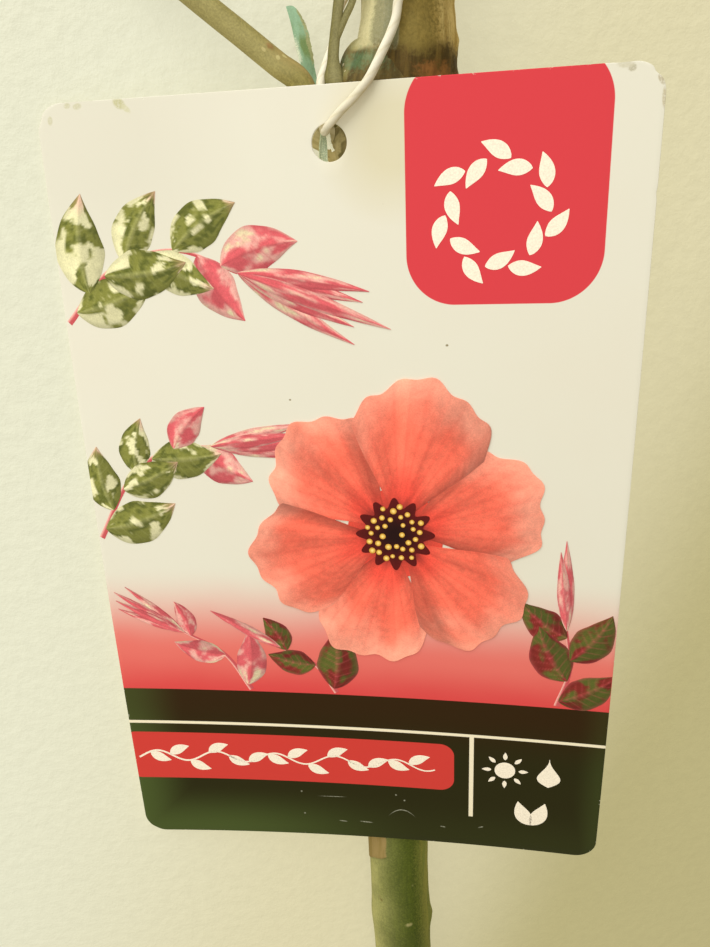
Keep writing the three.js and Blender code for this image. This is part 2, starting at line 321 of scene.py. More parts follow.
class NodeBook:
    """Adds nodes to one node tree and links them by short calls.

    Where a call takes a colour it may be a screen colour, and where it takes a number it may be a
    socket.

    Attributes:
        tree: The node tree.
    """

    def __init__(self, tree: bpy.types.NodeTree) -> None:
        """Starts on a tree."""
        self.tree = tree

    def put(self, socket: Socket, value: Value | Sequence[float]) -> None:
        """Links a socket to another, or sets its plain value.

        Args:
            socket: The input to feed.
            value: What feeds it.
        """
        if isinstance(value, bpy.types.NodeSocket):
            self.tree.links.new(value, socket)
        else:
            socket.default_value = value

    def add(
        self, kind: str, inputs: dict[str | int, object] | None = None, **settings: object
    ) -> bpy.types.Node:
        """Adds a node.

        Args:
            kind: The node's type name.
            inputs: Values or sockets for its inputs, by name or number.
            settings: The node's own settings.

        Returns:
            The node.
        """
        node = self.tree.nodes.new(kind)
        for name, value in settings.items():
            setattr(node, name, value)
        for key, value in (inputs or {}).items():
            self.put(node.inputs[key], value)
        return node

    def math(self, operation: str, first: Value, second: Value = 0.0, clamp: bool = False) -> Socket:
        """Adds a Math node and gives its result."""
        settings = {"operation": operation, "use_clamp": clamp}
        return self.add("ShaderNodeMath", {0: first, 1: second}, **settings).outputs[0]

    def plus(self, first: Value, second: Value) -> Socket:
        """Adds two numbers."""
        return self.math("ADD", first, second)

    def minus(self, first: Value, second: Value) -> Socket:
        """Takes the second number from the first."""
        return self.math("SUBTRACT", first, second)

    def times(self, first: Value, second: Value) -> Socket:
        """Multiplies two numbers."""
        return self.math("MULTIPLY", first, second)

    def span(self, value: Value, low: float, high: float, start: float = 0.0, end: float = 1.0) -> Socket:
        """Maps low..high smoothly to start..end, held at both ends."""
        inputs = {"Value": value, "From Min": low, "From Max": high, "To Min": start, "To Max": end}
        return self.add("ShaderNodeMapRange", inputs, interpolation_type="SMOOTHSTEP").outputs[0]

    def mix(self, share: Value, first: Tone, second: Tone, kind: str = "MIX") -> Socket:
        """Mixes two colours.

        Args:
            share: Share of the second colour.
            first: The first colour.
            second: The second.
            kind: How they blend.

        Returns:
            The mixed colour.
        """
        first, second = (linear(c) if isinstance(c, tuple) else c for c in (first, second))
        inputs = {0: share, 6: first, 7: second}
        return self.add("ShaderNodeMix", inputs, data_type="RGBA", blend_type=kind).outputs[2]

    def dim(self, colour: Tone, shade: Socket) -> Socket:
        """Multiplies a colour by a grey shade."""
        grey = self.add("ShaderNodeCombineColor", {0: shade, 1: shade, 2: shade}).outputs[0]
        return self.mix(1.0, colour, grey, "MULTIPLY")

    def noise(self, place: Socket, scale: float, detail: float = 3.0, rough: float = 0.55) -> Socket:
        """Adds a Noise texture and gives its value, 0 to 1."""
        inputs = {"Vector": place, "Scale": scale, "Detail": detail, "Roughness": rough}
        return self.add("ShaderNodeTexNoise", inputs).outputs[0]

    def stretch(self, place: Socket, scale: Place, move: Place = (0.0, 0.0, 0.0)) -> Socket:
        """Scales a place by each axis and moves it."""
        inputs = {"Vector": place, "Scale": scale, "Location": move}
        return self.add("ShaderNodeMapping", inputs).outputs[0]

    def millimetres(self) -> Socket:
        """Gives the place on the piece, in millimetres."""
        return self.stretch(self.add("ShaderNodeTexCoord").outputs["Object"], (1000.0, 1000.0, 1000.0))

    def kept(self, name: str, output: str = "Fac") -> Socket:
        """Reads a value, or by another output a vector or colour, that the piece keeps."""
        return self.add("ShaderNodeAttribute", attribute_name=name).outputs[output]

    def group(self, tree: bpy.types.NodeTree, inputs: dict[str, object]) -> bpy.types.NodeOutputs:
        """Places a node group.

        Args:
            tree: The group.
            inputs: Values or sockets for its inputs, by name.

        Returns:
            Its outputs.
        """
        node = self.add("ShaderNodeGroup", node_tree=tree)
        for key, value in inputs.items():
            self.put(node.inputs[key], value)
        return node.outputs

    def relief(self, height: Socket, metres: float, strength: float) -> Socket:
        """Adds a Bump node of a depth in metres and gives its normal."""
        bump = self.add("ShaderNodeBump", {"Strength": strength, "Distance": metres, "Height": height})
        return bump.outputs[0]


def new_group(
    name: str, inputs: dict[str, float | None], outputs: Sequence[str]
) -> tuple[NodeBook, dict, dict]:
    """Starts a shader node group.

    Args:
        name: The group's name.
        inputs: Number inputs with their defaults. None makes a vector input.
        outputs: Names of the number outputs.

    Returns:
        The group's node book, its input sockets to read, and its output sockets to feed.
    """
    tree = bpy.data.node_groups.new(name, "ShaderNodeTree")
    for key, default in inputs.items():
        kind = "NodeSocketVector" if default is None else "NodeSocketFloat"
        socket = tree.interface.new_socket(key, in_out="INPUT", socket_type=kind)
        if default is not None:
            socket.default_value = default
    for key in outputs:
        tree.interface.new_socket(key, in_out="OUTPUT", socket_type="NodeSocketFloat")
    book = NodeBook(tree)
    into = book.add("NodeGroupInput").outputs
    out = book.add("NodeGroupOutput").inputs
    return book, {key: into[key] for key in inputs}, {key: out[key] for key in outputs}


class SharedEffects:
    """Node groups that several finishes use.

    Attributes:
        grain_tree: Long streaks, fine grain and broad clouds on a place in millimetres.
        specks: Small round spots strewn over a place in millimetres.
        plate: A box with round corners on a flat place: its mask, and the depth inside its edge.
        scratch: A short bowed line on a flat place.
    """

    def __init__(self) -> None:
        """Builds the groups."""
        self.grain_tree = self.build_grain()
        self.specks = self.build_specks()
        self.plate = self.build_plate()
        self.scratch = self.build_scratch()

    def grain(
        self, book: NodeBook, place: Socket, streak: float, grain: float, cloud: float
    ) -> bpy.types.NodeOutputs:
        """Places the grain group with its three scales per millimetre."""
        scales = {"Place": place, "Streak Scale": streak, "Grain Scale": grain, "Cloud Scale": cloud}
        return book.group(self.grain_tree, scales)

    @staticmethod
    def build_grain() -> bpy.types.NodeTree:
        """Streaks are noise drawn out along z, grain is fine noise, and clouds are coarse noise.

        Returns:
            The group.
        """
        inputs = {"Place": None, "Streak Scale": 1.0, "Grain Scale": 4.0, "Cloud Scale": 0.1}
        book, given, out = new_group("surface_grain", inputs, ["Streak", "Grain", "Cloud"])
        long = book.stretch(given["Place"], (1.0, 1.0, 0.12))
        book.put(out["Streak"], book.noise(long, given["Streak Scale"], 4.0, 0.6))
        book.put(out["Grain"], book.noise(given["Place"], given["Grain Scale"], 4.0, 0.65))
        book.put(out["Cloud"], book.noise(given["Place"], given["Cloud Scale"], 2.0, 0.5))
        return book.tree

    @staticmethod
    def build_specks() -> bpy.types.NodeTree:
        """A speck is the near part of a cell, in a share of the cells, and its size varies.

        Returns:
            The group.
        """
        inputs = {"Place": None, "Scale": 1.0, "Size": 0.2, "Share": 0.5}
        book, given, out = new_group("strewn_specks", inputs, ["Mask"])
        cell = book.add("ShaderNodeTexVoronoi", {"Vector": given["Place"], "Scale": given["Scale"]})
        pick = book.add("ShaderNodeSeparateColor", {0: cell.outputs["Color"]}).outputs[0]
        limit = book.times(given["Size"], book.plus(pick, 0.35))
        near = book.minus(limit, cell.outputs["Distance"])
        dot = book.math("MULTIPLY", near, 12.0, clamp=True)
        book.put(out["Mask"], book.times(dot, book.math("LESS_THAN", pick, given["Share"])))
        return book.tree

    @staticmethod
    def build_plate() -> bpy.types.NodeTree:
        """The depth is the round corner's radius less the distance past the box shrunk by it.

        Returns:
            The group.
        """
        inputs = {"Place": None, "X": 0.0, "Y": 0.0, "Half Width": 10.0, "Half Height": 10.0}
        inputs |= {"Corner": 1.0, "Softness": 0.1}
        book, given, out = new_group("round_plate", inputs, ["Mask", "Depth"])
        place = book.add("ShaderNodeSeparateXYZ", {0: given["Place"]}).outputs
        past = []
        for axis, middle, half in ((0, "X", "Half Width"), (1, "Y", "Half Height")):
            off = book.math("ABSOLUTE", book.minus(place[axis], given[middle]))
            past.append(book.minus(off, book.minus(given[half], given["Corner"])))
        outside = [book.math("MAXIMUM", p, 0.0) for p in past]
        corner = book.math("SQRT", book.plus(*(book.times(p, p) for p in outside)))
        inside = book.math("MINIMUM", book.math("MAXIMUM", *past), 0.0)
        depth = book.minus(given["Corner"], book.plus(corner, inside))
        book.put(out["Depth"], depth)
        share = book.math("DIVIDE", depth, given["Softness"])
        book.put(out["Mask"], book.math("ADD", share, 0.5, clamp=True))
        return book.tree

    @staticmethod
    def build_scratch() -> bpy.types.NodeTree:
        """A long soft oval: one less the squared shares along and across, bowed by the first.

        Returns:
            The group.
        """
        inputs = {"Place": None, "X": 0.0, "Y": 0.0, "Turn": 0.0, "Half": 1.0, "Width": 0.1, "Bow": 0.0}
        book, given, out = new_group("bowed_scratch", inputs, ["Mask"])
        place = book.add("ShaderNodeSeparateXYZ", {0: given["Place"]}).outputs
        x, y = (book.minus(place[k], given[name]) for k, name in enumerate("XY"))
        cos, sin = (book.math(name, given["Turn"]) for name in ("COSINE", "SINE"))
        u = book.plus(book.times(x, cos), book.times(y, sin))
        v = book.minus(book.times(y, cos), book.times(x, sin))
        share = book.math("DIVIDE", u, given["Half"])
        rest = book.minus(1.0, book.times(share, share))
        across = book.math("DIVIDE", book.minus(v, book.times(rest, given["Bow"])), given["Width"])
        inside = book.minus(rest, book.times(across, across))
        book.put(out["Mask"], book.math("MULTIPLY", inside, 1.6, clamp=True))
        return book.tree


# Finishes


class Finish:
    """A finish, which makes one material.

    Attributes:
        name: The material's name.
        roughness: The bare surface's roughness.
    """

    name: str
    roughness: float

    def looks(self, book: NodeBook, effects: SharedEffects) -> Looks:
        """Says what feeds the shader.

        Args:
            book: The material's node book.
            effects: The shared node groups.

        Returns:
            Sockets and plain values, by the shader's input.
        """
        raise NotImplementedError

    def material(self, effects: SharedEffects) -> bpy.types.Material:
        """Makes the material.

        Args:
            effects: The shared node groups.

        Returns:
            The material, with its Principled shader fed by the looks.
        """
        material = bpy.data.materials.new(self.name)
        material.use_nodes = True
        book = NodeBook(material.node_tree)
        shader = material.node_tree.nodes["Principled BSDF"]
        looks = {"Roughness": self.roughness, **self.looks(book, effects)}
        for key, value in looks.items():
            book.put(shader.inputs[key], value)
        return material


@dataclass(frozen=True)
class Mark:
    """A kind of patch on bark, painted where the limb keeps its mask.

    Attributes:
        mask: Name of the value that the limb keeps.
        colour: The patch's colour.
        other: The colour of its blotches.
        roughness: The patch's roughness.
        broken: How far noise breaks its edge, 0 to 1.
        soft: Half the width of its edge, as a share of the mask.
    """

    mask: str
    colour: Colour
    other: Colour
    roughness: float
    broken: float = 0.3
    soft: float = 0.15


@dataclass(frozen=True)
class BarkFinish(Finish):
    """Bark in three tones, streaked along the limb, with a painted lit side, strewn pores and marks.

    Attributes:
        deep: Darkest tone.
        middle: Main tone.
        pale: Lightest tone, also that of the painted lit side.
        streak: Streaks per millimetre across the limb.
        grain: Grain's scale per millimetre.
        pores: Share of cells with a pale pore.
        relief: Depth of the fine relief, in metres.
        marks: Patches on it.
    """

    name: str
    deep: Colour
    middle: Colour
    pale: Colour
    streak: float
    grain: float
    pores: float
    roughness: float
    relief: float
    marks: tuple[Mark, ...]

    def looks(self, book: NodeBook, effects: SharedEffects) -> Looks:
        """Streaks, a painted lit side, grain and pores, and over them the marks in their own tones.

        Args:
            book: The material's node book.
            effects: The shared node groups.

        Returns:
            What feeds the shader.
        """
        place = book.kept("bark_place", "Vector")
        grain = effects.grain(book, place, self.streak, self.grain, 0.16)
        colour = book.mix(book.span(grain["Streak"], 0.3, 0.7), self.deep, self.middle)
        # Painted light: one side of the limb is mixed towards the pale tone.
        lit = book.times(book.span(grain["Cloud"], 0.3, 0.7, 0.65, 1.0), book.kept("painted_lit_side"))
        colour = book.mix(lit, colour, self.pale)
        colour = book.dim(colour, book.span(grain["Grain"], 0.25, 0.75, 0.78, 1.18))
        drawn = book.stretch(place, (1.0, 1.0, 1.7))
        pore_inputs = {"Place": drawn, "Scale": 0.42, "Size": 0.22, "Share": self.pores}
        pores = book.group(effects.specks, pore_inputs)["Mask"]
        colour = book.mix(book.times(pores, 0.65), colour, self.pale)
        height = book.plus(grain["Grain"], book.times(grain["Streak"], 0.8))
        height = book.plus(height, book.times(pores, 0.5))
        roughness: Value = self.roughness
        for mark in self.marks:
            ragged = book.times(book.minus(grain["Grain"], 0.5), mark.broken * 2.0)
            mask = book.span(book.plus(book.kept(mark.mask), ragged), 0.5 - mark.soft, 0.5 + mark.soft)
            patch = book.mix(book.span(grain["Streak"], 0.42, 0.6), mark.colour, mark.other)
            colour = book.mix(mask, colour, patch)
            roughness = book.plus(roughness, book.times(mask, mark.roughness - self.roughness))
        relief = book.relief(height, self.relief, 0.7)
        return {"Base Color": colour, "Specular IOR Level": 0.12, "Roughness": roughness, "Normal": relief}


@dataclass(frozen=True)
class CutWoodFinish(Finish):
    """A sawn end: pale wood with one or two rings, a green cambium line and a pith.

    Attributes:
        wood: Main tone.
        ring: Tone of the rings.
        pith: Tone of the pith.
        edge: Tone of the ring under the bark.
    """

    name: str = "sawn_wood"
    roughness: float = 0.75
    wood: Colour = (222, 205, 160)
    ring: Colour = (196, 172, 120)
    pith: Colour = (150, 118, 74)
    edge: Colour = (150, 158, 84)

    def looks(self, book: NodeBook, effects: SharedEffects) -> Looks:
        """Rings are a sine of how far out a point lies, as a kept share, moved by clouds.

        Args:
            book: The material's node book.
            effects: The shared node groups.

        Returns:
            What feeds the shader.
        """
        out = book.kept("out_share")
        grain = effects.grain(book, book.millimetres(), 0.9, 2.6, 0.16)
        rings = book.math("SINE", book.times(book.plus(out, book.times(grain["Cloud"], 0.12)), 26.0))
        colour = book.mix(book.span(rings, 0.3, 1.0), self.wood, self.ring)
        colour = book.mix(book.span(grain["Grain"], 0.35, 0.7, 0.0, 0.35), colour, self.ring)
        colour = book.mix(book.span(out, 0.17, 0.1), colour, self.pith)
        colour = book.mix(book.span(out, 0.86, 0.93), colour, self.edge)
        return {"Base Color": colour, "Normal": book.relief(grain["Grain"], 0.0001, 0.6)}


@dataclass(frozen=True)
class TapeFinish(Finish):
    """Thin stretched plastic tape, cloudy and creased.

    Attributes:
        pale: Where it is thin or lit through.
        deep: Where it is folded double, and painted shade on the tail at the top of the label's hole.
        soiled: Along its torn edge.
        bleached: Where it is stretched to a thin film, and painted light on the tail below the hole's top.
    """

    name: str = "graft_tape"
    roughness: float = 0.5
    pale: Colour = (148, 180, 140)
    deep: Colour = (118, 140, 82)
    soiled: Colour = (160, 160, 106)
    bleached: Colour = (254, 252, 222)

    def looks(self, book: NodeBook, effects: SharedEffects) -> Looks:
        """Its folds, its soiled edge and its film are kept masks, broken by noise, the folds with painted
        shade and the film with painted light.

        Args:
            book: The material's node book.
            effects: The shared node groups.

        Returns:
            What feeds the shader.
        """
        grain = effects.grain(book, book.millimetres(), 1.4, 5.0, 0.5)
        colour: Tone = self.pale
        for mask, noise, low, high, tone in (
            ("fold_and_shade", "Cloud", 0.1, 0.9, self.deep), ("torn", "Grain", 0.4, 0.8, self.soiled),
            ("bleached", "Grain", 0.1, 1.0, self.bleached),
        ):
            broken = book.plus(book.kept(mask), book.minus(grain[noise], 0.5))
            colour = book.mix(book.span(broken, low, high), colour, tone)
        colour = book.dim(colour, book.span(grain["Grain"], 0.3, 0.8, 0.86, 1.1))
        relief = book.relief(grain["Streak"], 0.0001, 0.5)
        return {"Base Color": colour, "Specular IOR Level": 0.25, "Normal": relief}


@dataclass(frozen=True)
class CordFinish(Finish):
    """White twisted cord, with a little grey painted shade where the strands meet.

    Attributes:
        crown: On the outside of the strands.
        groove: Between them, as painted shade.
        shade: On the side away from the light.
    """

    name: str = "tie_cord"
    roughness: float = 0.55
    crown: Colour = (224, 215, 188)
    groove: Colour = (206, 194, 158)
    shade: Colour = (190, 174, 126)

    def looks(self, book: NodeBook, effects: SharedEffects) -> Looks:
        """The depth of the grooves and the shaded side are kept by the cord.

        Args:
            book: The material's node book.
            effects: The shared node groups.

        Returns:
            What feeds the shader.
        """
        grain = effects.grain(book, book.millimetres(), 3.0, 7.0, 0.4)
        # Painted shade in the grooves between the strands, mottled grey by the grain.
        soiled = book.plus(book.kept("groove"), book.span(grain["Grain"], 0.4, 0.8, 0.0, 0.35))
        colour = book.mix(book.kept("shade"), book.mix(soiled, self.crown, self.groove), self.shade)
        relief = book.relief(grain["Grain"], 0.00006, 0.5)
        return {"Base Color": colour, "Specular IOR Level": 0.25, "Normal": relief}


@dataclass(frozen=True)
class Plate:
    """A flat field on the card, in card millimetres: mostly print, some painted shade.

    Attributes:
        middle: Its middle, to the right and up from the card's.
        half: Half its width and height.
        corner: Radius of its corners.
        colour: Its ink.
        soft: Width of its edge.
        share: How much of it covers the ground.
    """

    middle: CardPlace
    half: CardPlace
    corner: float
    colour: Colour
    soft: float = 0.1
    share: float = 1.0


@dataclass(frozen=True)
class Wear:
    """A scratch, a chip or a spot of dirt on the card, in card millimetres.

    Attributes:
        x: Its middle, to the right.
        y: Its middle, up.
        turn_deg: Its direction, counted from the right.
        half: Half its length.
        width: Half its width.
        bow: How far its middle bows out.
        colour: Its colour.
    """

    x: float
    y: float
    turn_deg: float
    half: float
    width: float
    bow: float = 0.0
    colour: Colour = (150, 148, 124)


GRIME: Colour = (200, 194, 158)
SCRATCHES = (
    Wear(8.7, -69.4, 0, 3.1, 0.16, 2.1), Wear(0.7, -71.5, -4, 1.6, 0.18), Wear(-4.5, -71.6, -6, 1.0, 0.18),
    Wear(17.6, -71.3, -8, 0.65, 0.18), Wear(25.8, -70.5, 22, 0.65, 0.2), Wear(-6.6, -64.6, 1, 3.4, 0.1),
)
PALE_SPOTS = tuple(
    Wear(x, y, 0, 0.25, 0.25) for x, y in ((-13.1, -69.8), (9.3, -64.5), (7.5, -63.1), (-13.4, -63.5)))
DIRT_SPOTS = tuple(
    Wear(x, y, 0, half, width, 0, (140, 126, 88))
    for x, y, half, width in ((18.6, 35.3, 0.28, 0.25), (3.2, 22.1, 0.25, 0.25), (-9.3, 25.8, 0.25, 0.2))
)
CORNER_CHIPS = tuple(
    Wear(x, y, turn_deg, half, width, 0, colour)
    for x, y, turn_deg, half, width, colour in (
        (-44.2, 75.5, 4, 0.7, 0.5, GRIME), (-42.4, 75.3, 8, 0.9, 0.55, GRIME),
        (-34.9, 75.3, -30, 1.3, 0.9, (192, 186, 140)), (-33.8, 74.5, -40, 1.1, 0.5, (206, 200, 160)),
        (-47.6, 73.4, 80, 0.8, 0.5, GRIME), (45.1, 75.2, 10, 0.7, 0.6, (186, 178, 148)),
        (44.2, 75.7, 0, 1.4, 0.6, (206, 198, 168)), (49.2, 73.4, -58, 0.9, 0.4, (188, 176, 144)),
        (49.8, 71.0, -86, 1.6, 0.35, (198, 186, 152)),
    )
)
WEAR = SCRATCHES + PALE_SPOTS + DIRT_SPOTS + CORNER_CHIPS


@dataclass(frozen=True)
class CardFinish(Finish):
    """Satin printed plastic: cream ground, a rosy haze, a dark foot band with a painted reflection, and flat
    fields of ink and of painted shade.

    The back glows a little, a painted glow that stands in for light coming through the thin card.

    Attributes:
        ground: The unprinted card.
        cloudy: The tone that its ground drifts towards.
        back_glow: Strength of the painted glow on its back, for the light that comes through.
        haze: Colour of the haze where it meets the band.
        haze_light: Its colour half way up.
        haze_at: Heights in card millimetres where it has faded out, is half and is full.
        band: Ink of the band's lower part.
        band_warm: Its tone along its upper edge.
        band_green_reflection: Its painted greenish reflection at the left side and along the foot.
        band_top: Height of its upper edge.
        chip: Colour of chips along the edge.
        dust: Colour of strewn dust.
        fields: Flat fields, laid in order: the first two painted shade, the rest print.
    """

    name: str = "label_card"
    roughness: float = 0.36
    ground: Colour = (224, 218, 195)
    cloudy: Colour = (223, 213, 188)
    back_glow: float = 0.48
    haze: Colour = (216, 72, 68)
    haze_light: Colour = (226, 112, 98)
    haze_at: tuple[float, float, float] = (-8.0, -28.0, -38.0)
    band: Colour = (42, 39, 12)
    band_warm: Colour = (50, 32, 8)
    band_green_reflection: Colour = (72, 84, 38)
    band_top: float = -37.0
    chip: Colour = (232, 228, 208)
    dust: Colour = (176, 164, 130)
    fields: tuple[Plate, ...] = (
        # Painted shade: a soft darker field at the top left.
        Plate((-44, 70), (22, 18), 16, (213, 207, 184), 20, 0.6),
        # Painted shadow: a soft yellowish patch beside the hole, where the tie's shadow falls.
        Plate((11, 68), (9, 9), 8, (206, 192, 140), 9, 0.5),
        Plate((27.5, 60.5), (15.5, 18.5), 8, (213, 64, 68)),
        Plate((-16, -54.5), (36, 6.2), 3, (206, 62, 52)),
        Plate((0, -45.6), (50.5, 0.35), 0.1, (240, 226, 190)),
        Plate((23.6, -56.6), (0.45, 11), 0.1, (240, 226, 190)),
    )

    def looks(self, book: NodeBook, effects: SharedEffects) -> Looks:
        """Lays the print, the painted shade and the wear on the card's own map, which shows the flat card
        from in front.

        Args:
            book: The material's node book.
            effects: The shared node groups.

        Returns:
            What feeds the shader.
        """
        label = PlantLabel()
        size = (label.width, label.height, 1.0)
        share = book.add("ShaderNodeTexCoord").outputs["UV"]
        place = book.stretch(share, size, (-label.width / 2, -label.height / 2, 0.0))
        x, y, _ = book.add("ShaderNodeSeparateXYZ", {0: place}).outputs
        grain = effects.grain(book, place, 0.9, 6.0, 0.05)
        colour = book.mix(book.span(grain["Cloud"], 0.3, 0.7, 0.0, 0.25), self.ground, self.cloudy)
        height = book.plus(y, book.times(book.minus(grain["Cloud"], 0.5), 4.0))
        top, light, full = self.haze_at
        colour = book.mix(book.span(height, top, light), colour, self.haze_light)
        colour = book.mix(book.span(height, light + 1.0, full), colour, self.haze)
        dark = book.mix(book.span(y, -54.0, -39.0), self.band, self.band_warm)
        # Painted reflection: the band turns greenish along the foot and at the sides.
        foot = book.times(book.span(y, -62.0, -76.0), book.span(x, 14.0, -34.0, 0.15, 1.0))
        sides = book.math("MAXIMUM", book.span(x, -37.0, -50.5), book.span(x, 44.0, 51.0, 0.0, 0.4))
        sides = book.times(sides, book.span(y, -40.0, -56.0, 0.6, 1.0))
        dark = book.mix(book.math("MAXIMUM", foot, sides), dark, self.band_green_reflection)
        in_band = book.math("MULTIPLY", book.minus(self.band_top, y), 12.0, clamp=True)
        colour = book.mix(in_band, colour, dark)
        for plate in self.fields:
            right, up = plate.middle
            sizes = {"X": right, "Y": up, "Corner": plate.corner, "Softness": plate.soft}
            sizes |= {"Place": place, "Half Width": plate.half[0], "Half Height": plate.half[1]}
            mask = book.group(effects.plate, sizes)["Mask"]
            colour = book.mix(book.times(mask, plate.share), colour, plate.colour)
        edge_sizes = {"Half Width": label.width / 2, "Half Height": label.height / 2, "Corner": label.corner}
        depth = book.group(effects.plate, {"Place": place, **edge_sizes})["Depth"]
        colour = self.worn(book, effects, place, depth, in_band, colour)
        back = book.math("LESS_THAN", book.kept("front"), 0.5)
        rough = book.plus(self.roughness, book.span(grain["Grain"], 0.3, 0.8, -0.04, 0.08))
        return {
            "Base Color": book.mix(back, colour, self.ground), "Roughness": rough,
            "Specular IOR Level": 0.08,
            "Emission Color": book.mix(back, BLACK, self.ground), "Emission Strength": self.back_glow,
            "Normal": book.relief(grain["Grain"], 0.00003, 0.25),
        }

    def worn(
        self, book: NodeBook, effects: SharedEffects, place: Socket, depth: Socket, in_band: Socket,
        colour: Socket,
    ) -> Socket:
        """Lays chips, grime, dust and the listed wear over the print.

        Args:
            book: The material's node book.
            effects: The shared node groups.
            place: Card millimetres.
            depth: Depth inside the card's edge.
            in_band: Mask of the dark band.
            colour: The print's colour.

        Returns:
            The worn colour.
        """
        reach = book.span(book.noise(place, 1.1, 4.0, 0.7), 0.58, 0.8)
        chip = book.math("LESS_THAN", depth, book.times(reach, 0.64))
        colour = book.mix(book.times(chip, 0.6), colour, self.chip)
        fine = book.noise(place, 2.7, 3.0, 0.8)
        grime = book.math("LESS_THAN", depth, book.times(reach, 0.96))
        colour = book.mix(book.times(grime, book.span(fine, 0.5, 0.62, 0.0, 0.7)), colour, GRIME)
        flecks = (0.16, 0.05, 0.35, 0.4), (0.7, 0.07, 0.16, book.times(in_band, 0.6))
        for scale, size, share, seen in flecks:
            strewn = {"Place": place, "Scale": scale, "Size": size, "Share": share}
            dust = book.group(effects.specks, strewn)["Mask"]
            colour = book.mix(book.times(dust, seen), colour, self.dust)
        broken = book.span(fine, 0.34, 0.56, 0.25, 1.0)
        for mark in WEAR:
            sizes = {"Place": place, "X": mark.x, "Y": mark.y, "Turn": math.radians(mark.turn_deg)}
            sizes |= {"Half": mark.half, "Width": mark.width, "Bow": mark.bow}
            mask = book.times(book.group(effects.scratch, sizes)["Mask"], broken)
            colour = book.mix(mask, colour, mark.colour)
        return colour


@dataclass(frozen=True)
class InkFinish(Finish):
    """Printed figures on the card, in the colours that they keep at their points.

    Attributes:
        grain: Depth of the printed grain, as a share of the colour.
    """

    name: str = "label_ink"
    roughness: float = 0.36
    grain: float = 0.12

    def looks(self, book: NodeBook, effects: SharedEffects) -> Looks:
        """The kept ink, with fine grain.

        Args:
            book: The material's node book.
            effects: The shared node groups.

        Returns:
            What feeds the shader.
        """
        grain = effects.grain(book, book.millimetres(), 1.0, 3.5, 0.2)
        fine = book.span(grain["Grain"], 0.25, 0.75, 1.0 - self.grain, 1.0 + self.grain)
        colour = book.dim(book.kept("ink", "Color"), fine)
        relief = book.relief(grain["Grain"], 0.00003, 0.25)
        return {"Base Color": colour, "Specular IOR Level": 0.08, "Normal": relief}


@dataclass(frozen=True)
class FloorFinish(Finish):
    """A plain pale floor, faintly uneven, with painted shade that grows yellower and then darker to one
    side.

    It is partly lit from within, so that shadows on it stay light.

    Attributes:
        pale: Its colour to the upper left.
        yellow: Its colour in between, the first step of its painted shade.
        painted_shade: Its darker colour to the right.
        turn_deg: Direction in which it changes.
        reach: Distances between which it grows yellower, in millimetres.
        painted_shade_reach: Distances between which the painted shade grows darker.
        cover: Share of the colour that the lights show.
        glow: Strength of the light from within.
    """

    name: str = "pale_floor"
    roughness: float = 0.85
    pale: Colour = (236, 234, 206)
    yellow: Colour = (229, 220, 179)
    painted_shade: Colour = (196, 186, 134)
    turn_deg: float = -21.0
    reach: tuple[float, float] = (-65.0, 30.0)
    painted_shade_reach: tuple[float, float] = (45.0, 94.0)
    cover: float = 0.3
    glow: float = 0.675

    def looks(self, book: NodeBook, effects: SharedEffects) -> Looks:
        """The colour changes with the distance along one direction, as painted shade, and has faint clouds.

        Args:
            book: The material's node book.
            effects: The shared node groups.

        Returns:
            What feeds the shader.
        """
        place = book.millimetres()
        x, y, _ = book.add("ShaderNodeSeparateXYZ", {0: place}).outputs
        turn = math.radians(self.turn_deg)
        along = book.plus(book.times(x, math.cos(turn)), book.times(y, math.sin(turn)))
        grain = effects.grain(book, place, 0.2, 0.35, 0.01)
        # Painted shade: the floor grows yellower, then darker, towards one side.
        colour = book.mix(book.span(along, *self.reach), self.pale, self.yellow)
        colour = book.mix(book.span(along, *self.painted_shade_reach), colour, self.painted_shade)
        colour = book.dim(colour, book.span(grain["Grain"], 0.3, 0.7, 0.97, 1.0))
        return {
            "Base Color": book.mix(self.cover, BLACK, colour), "Specular IOR Level": 0.2,
            "Emission Color": colour, "Emission Strength": self.glow,
            "Normal": book.relief(grain["Grain"], 0.001, 0.6),
        }


# Workbench


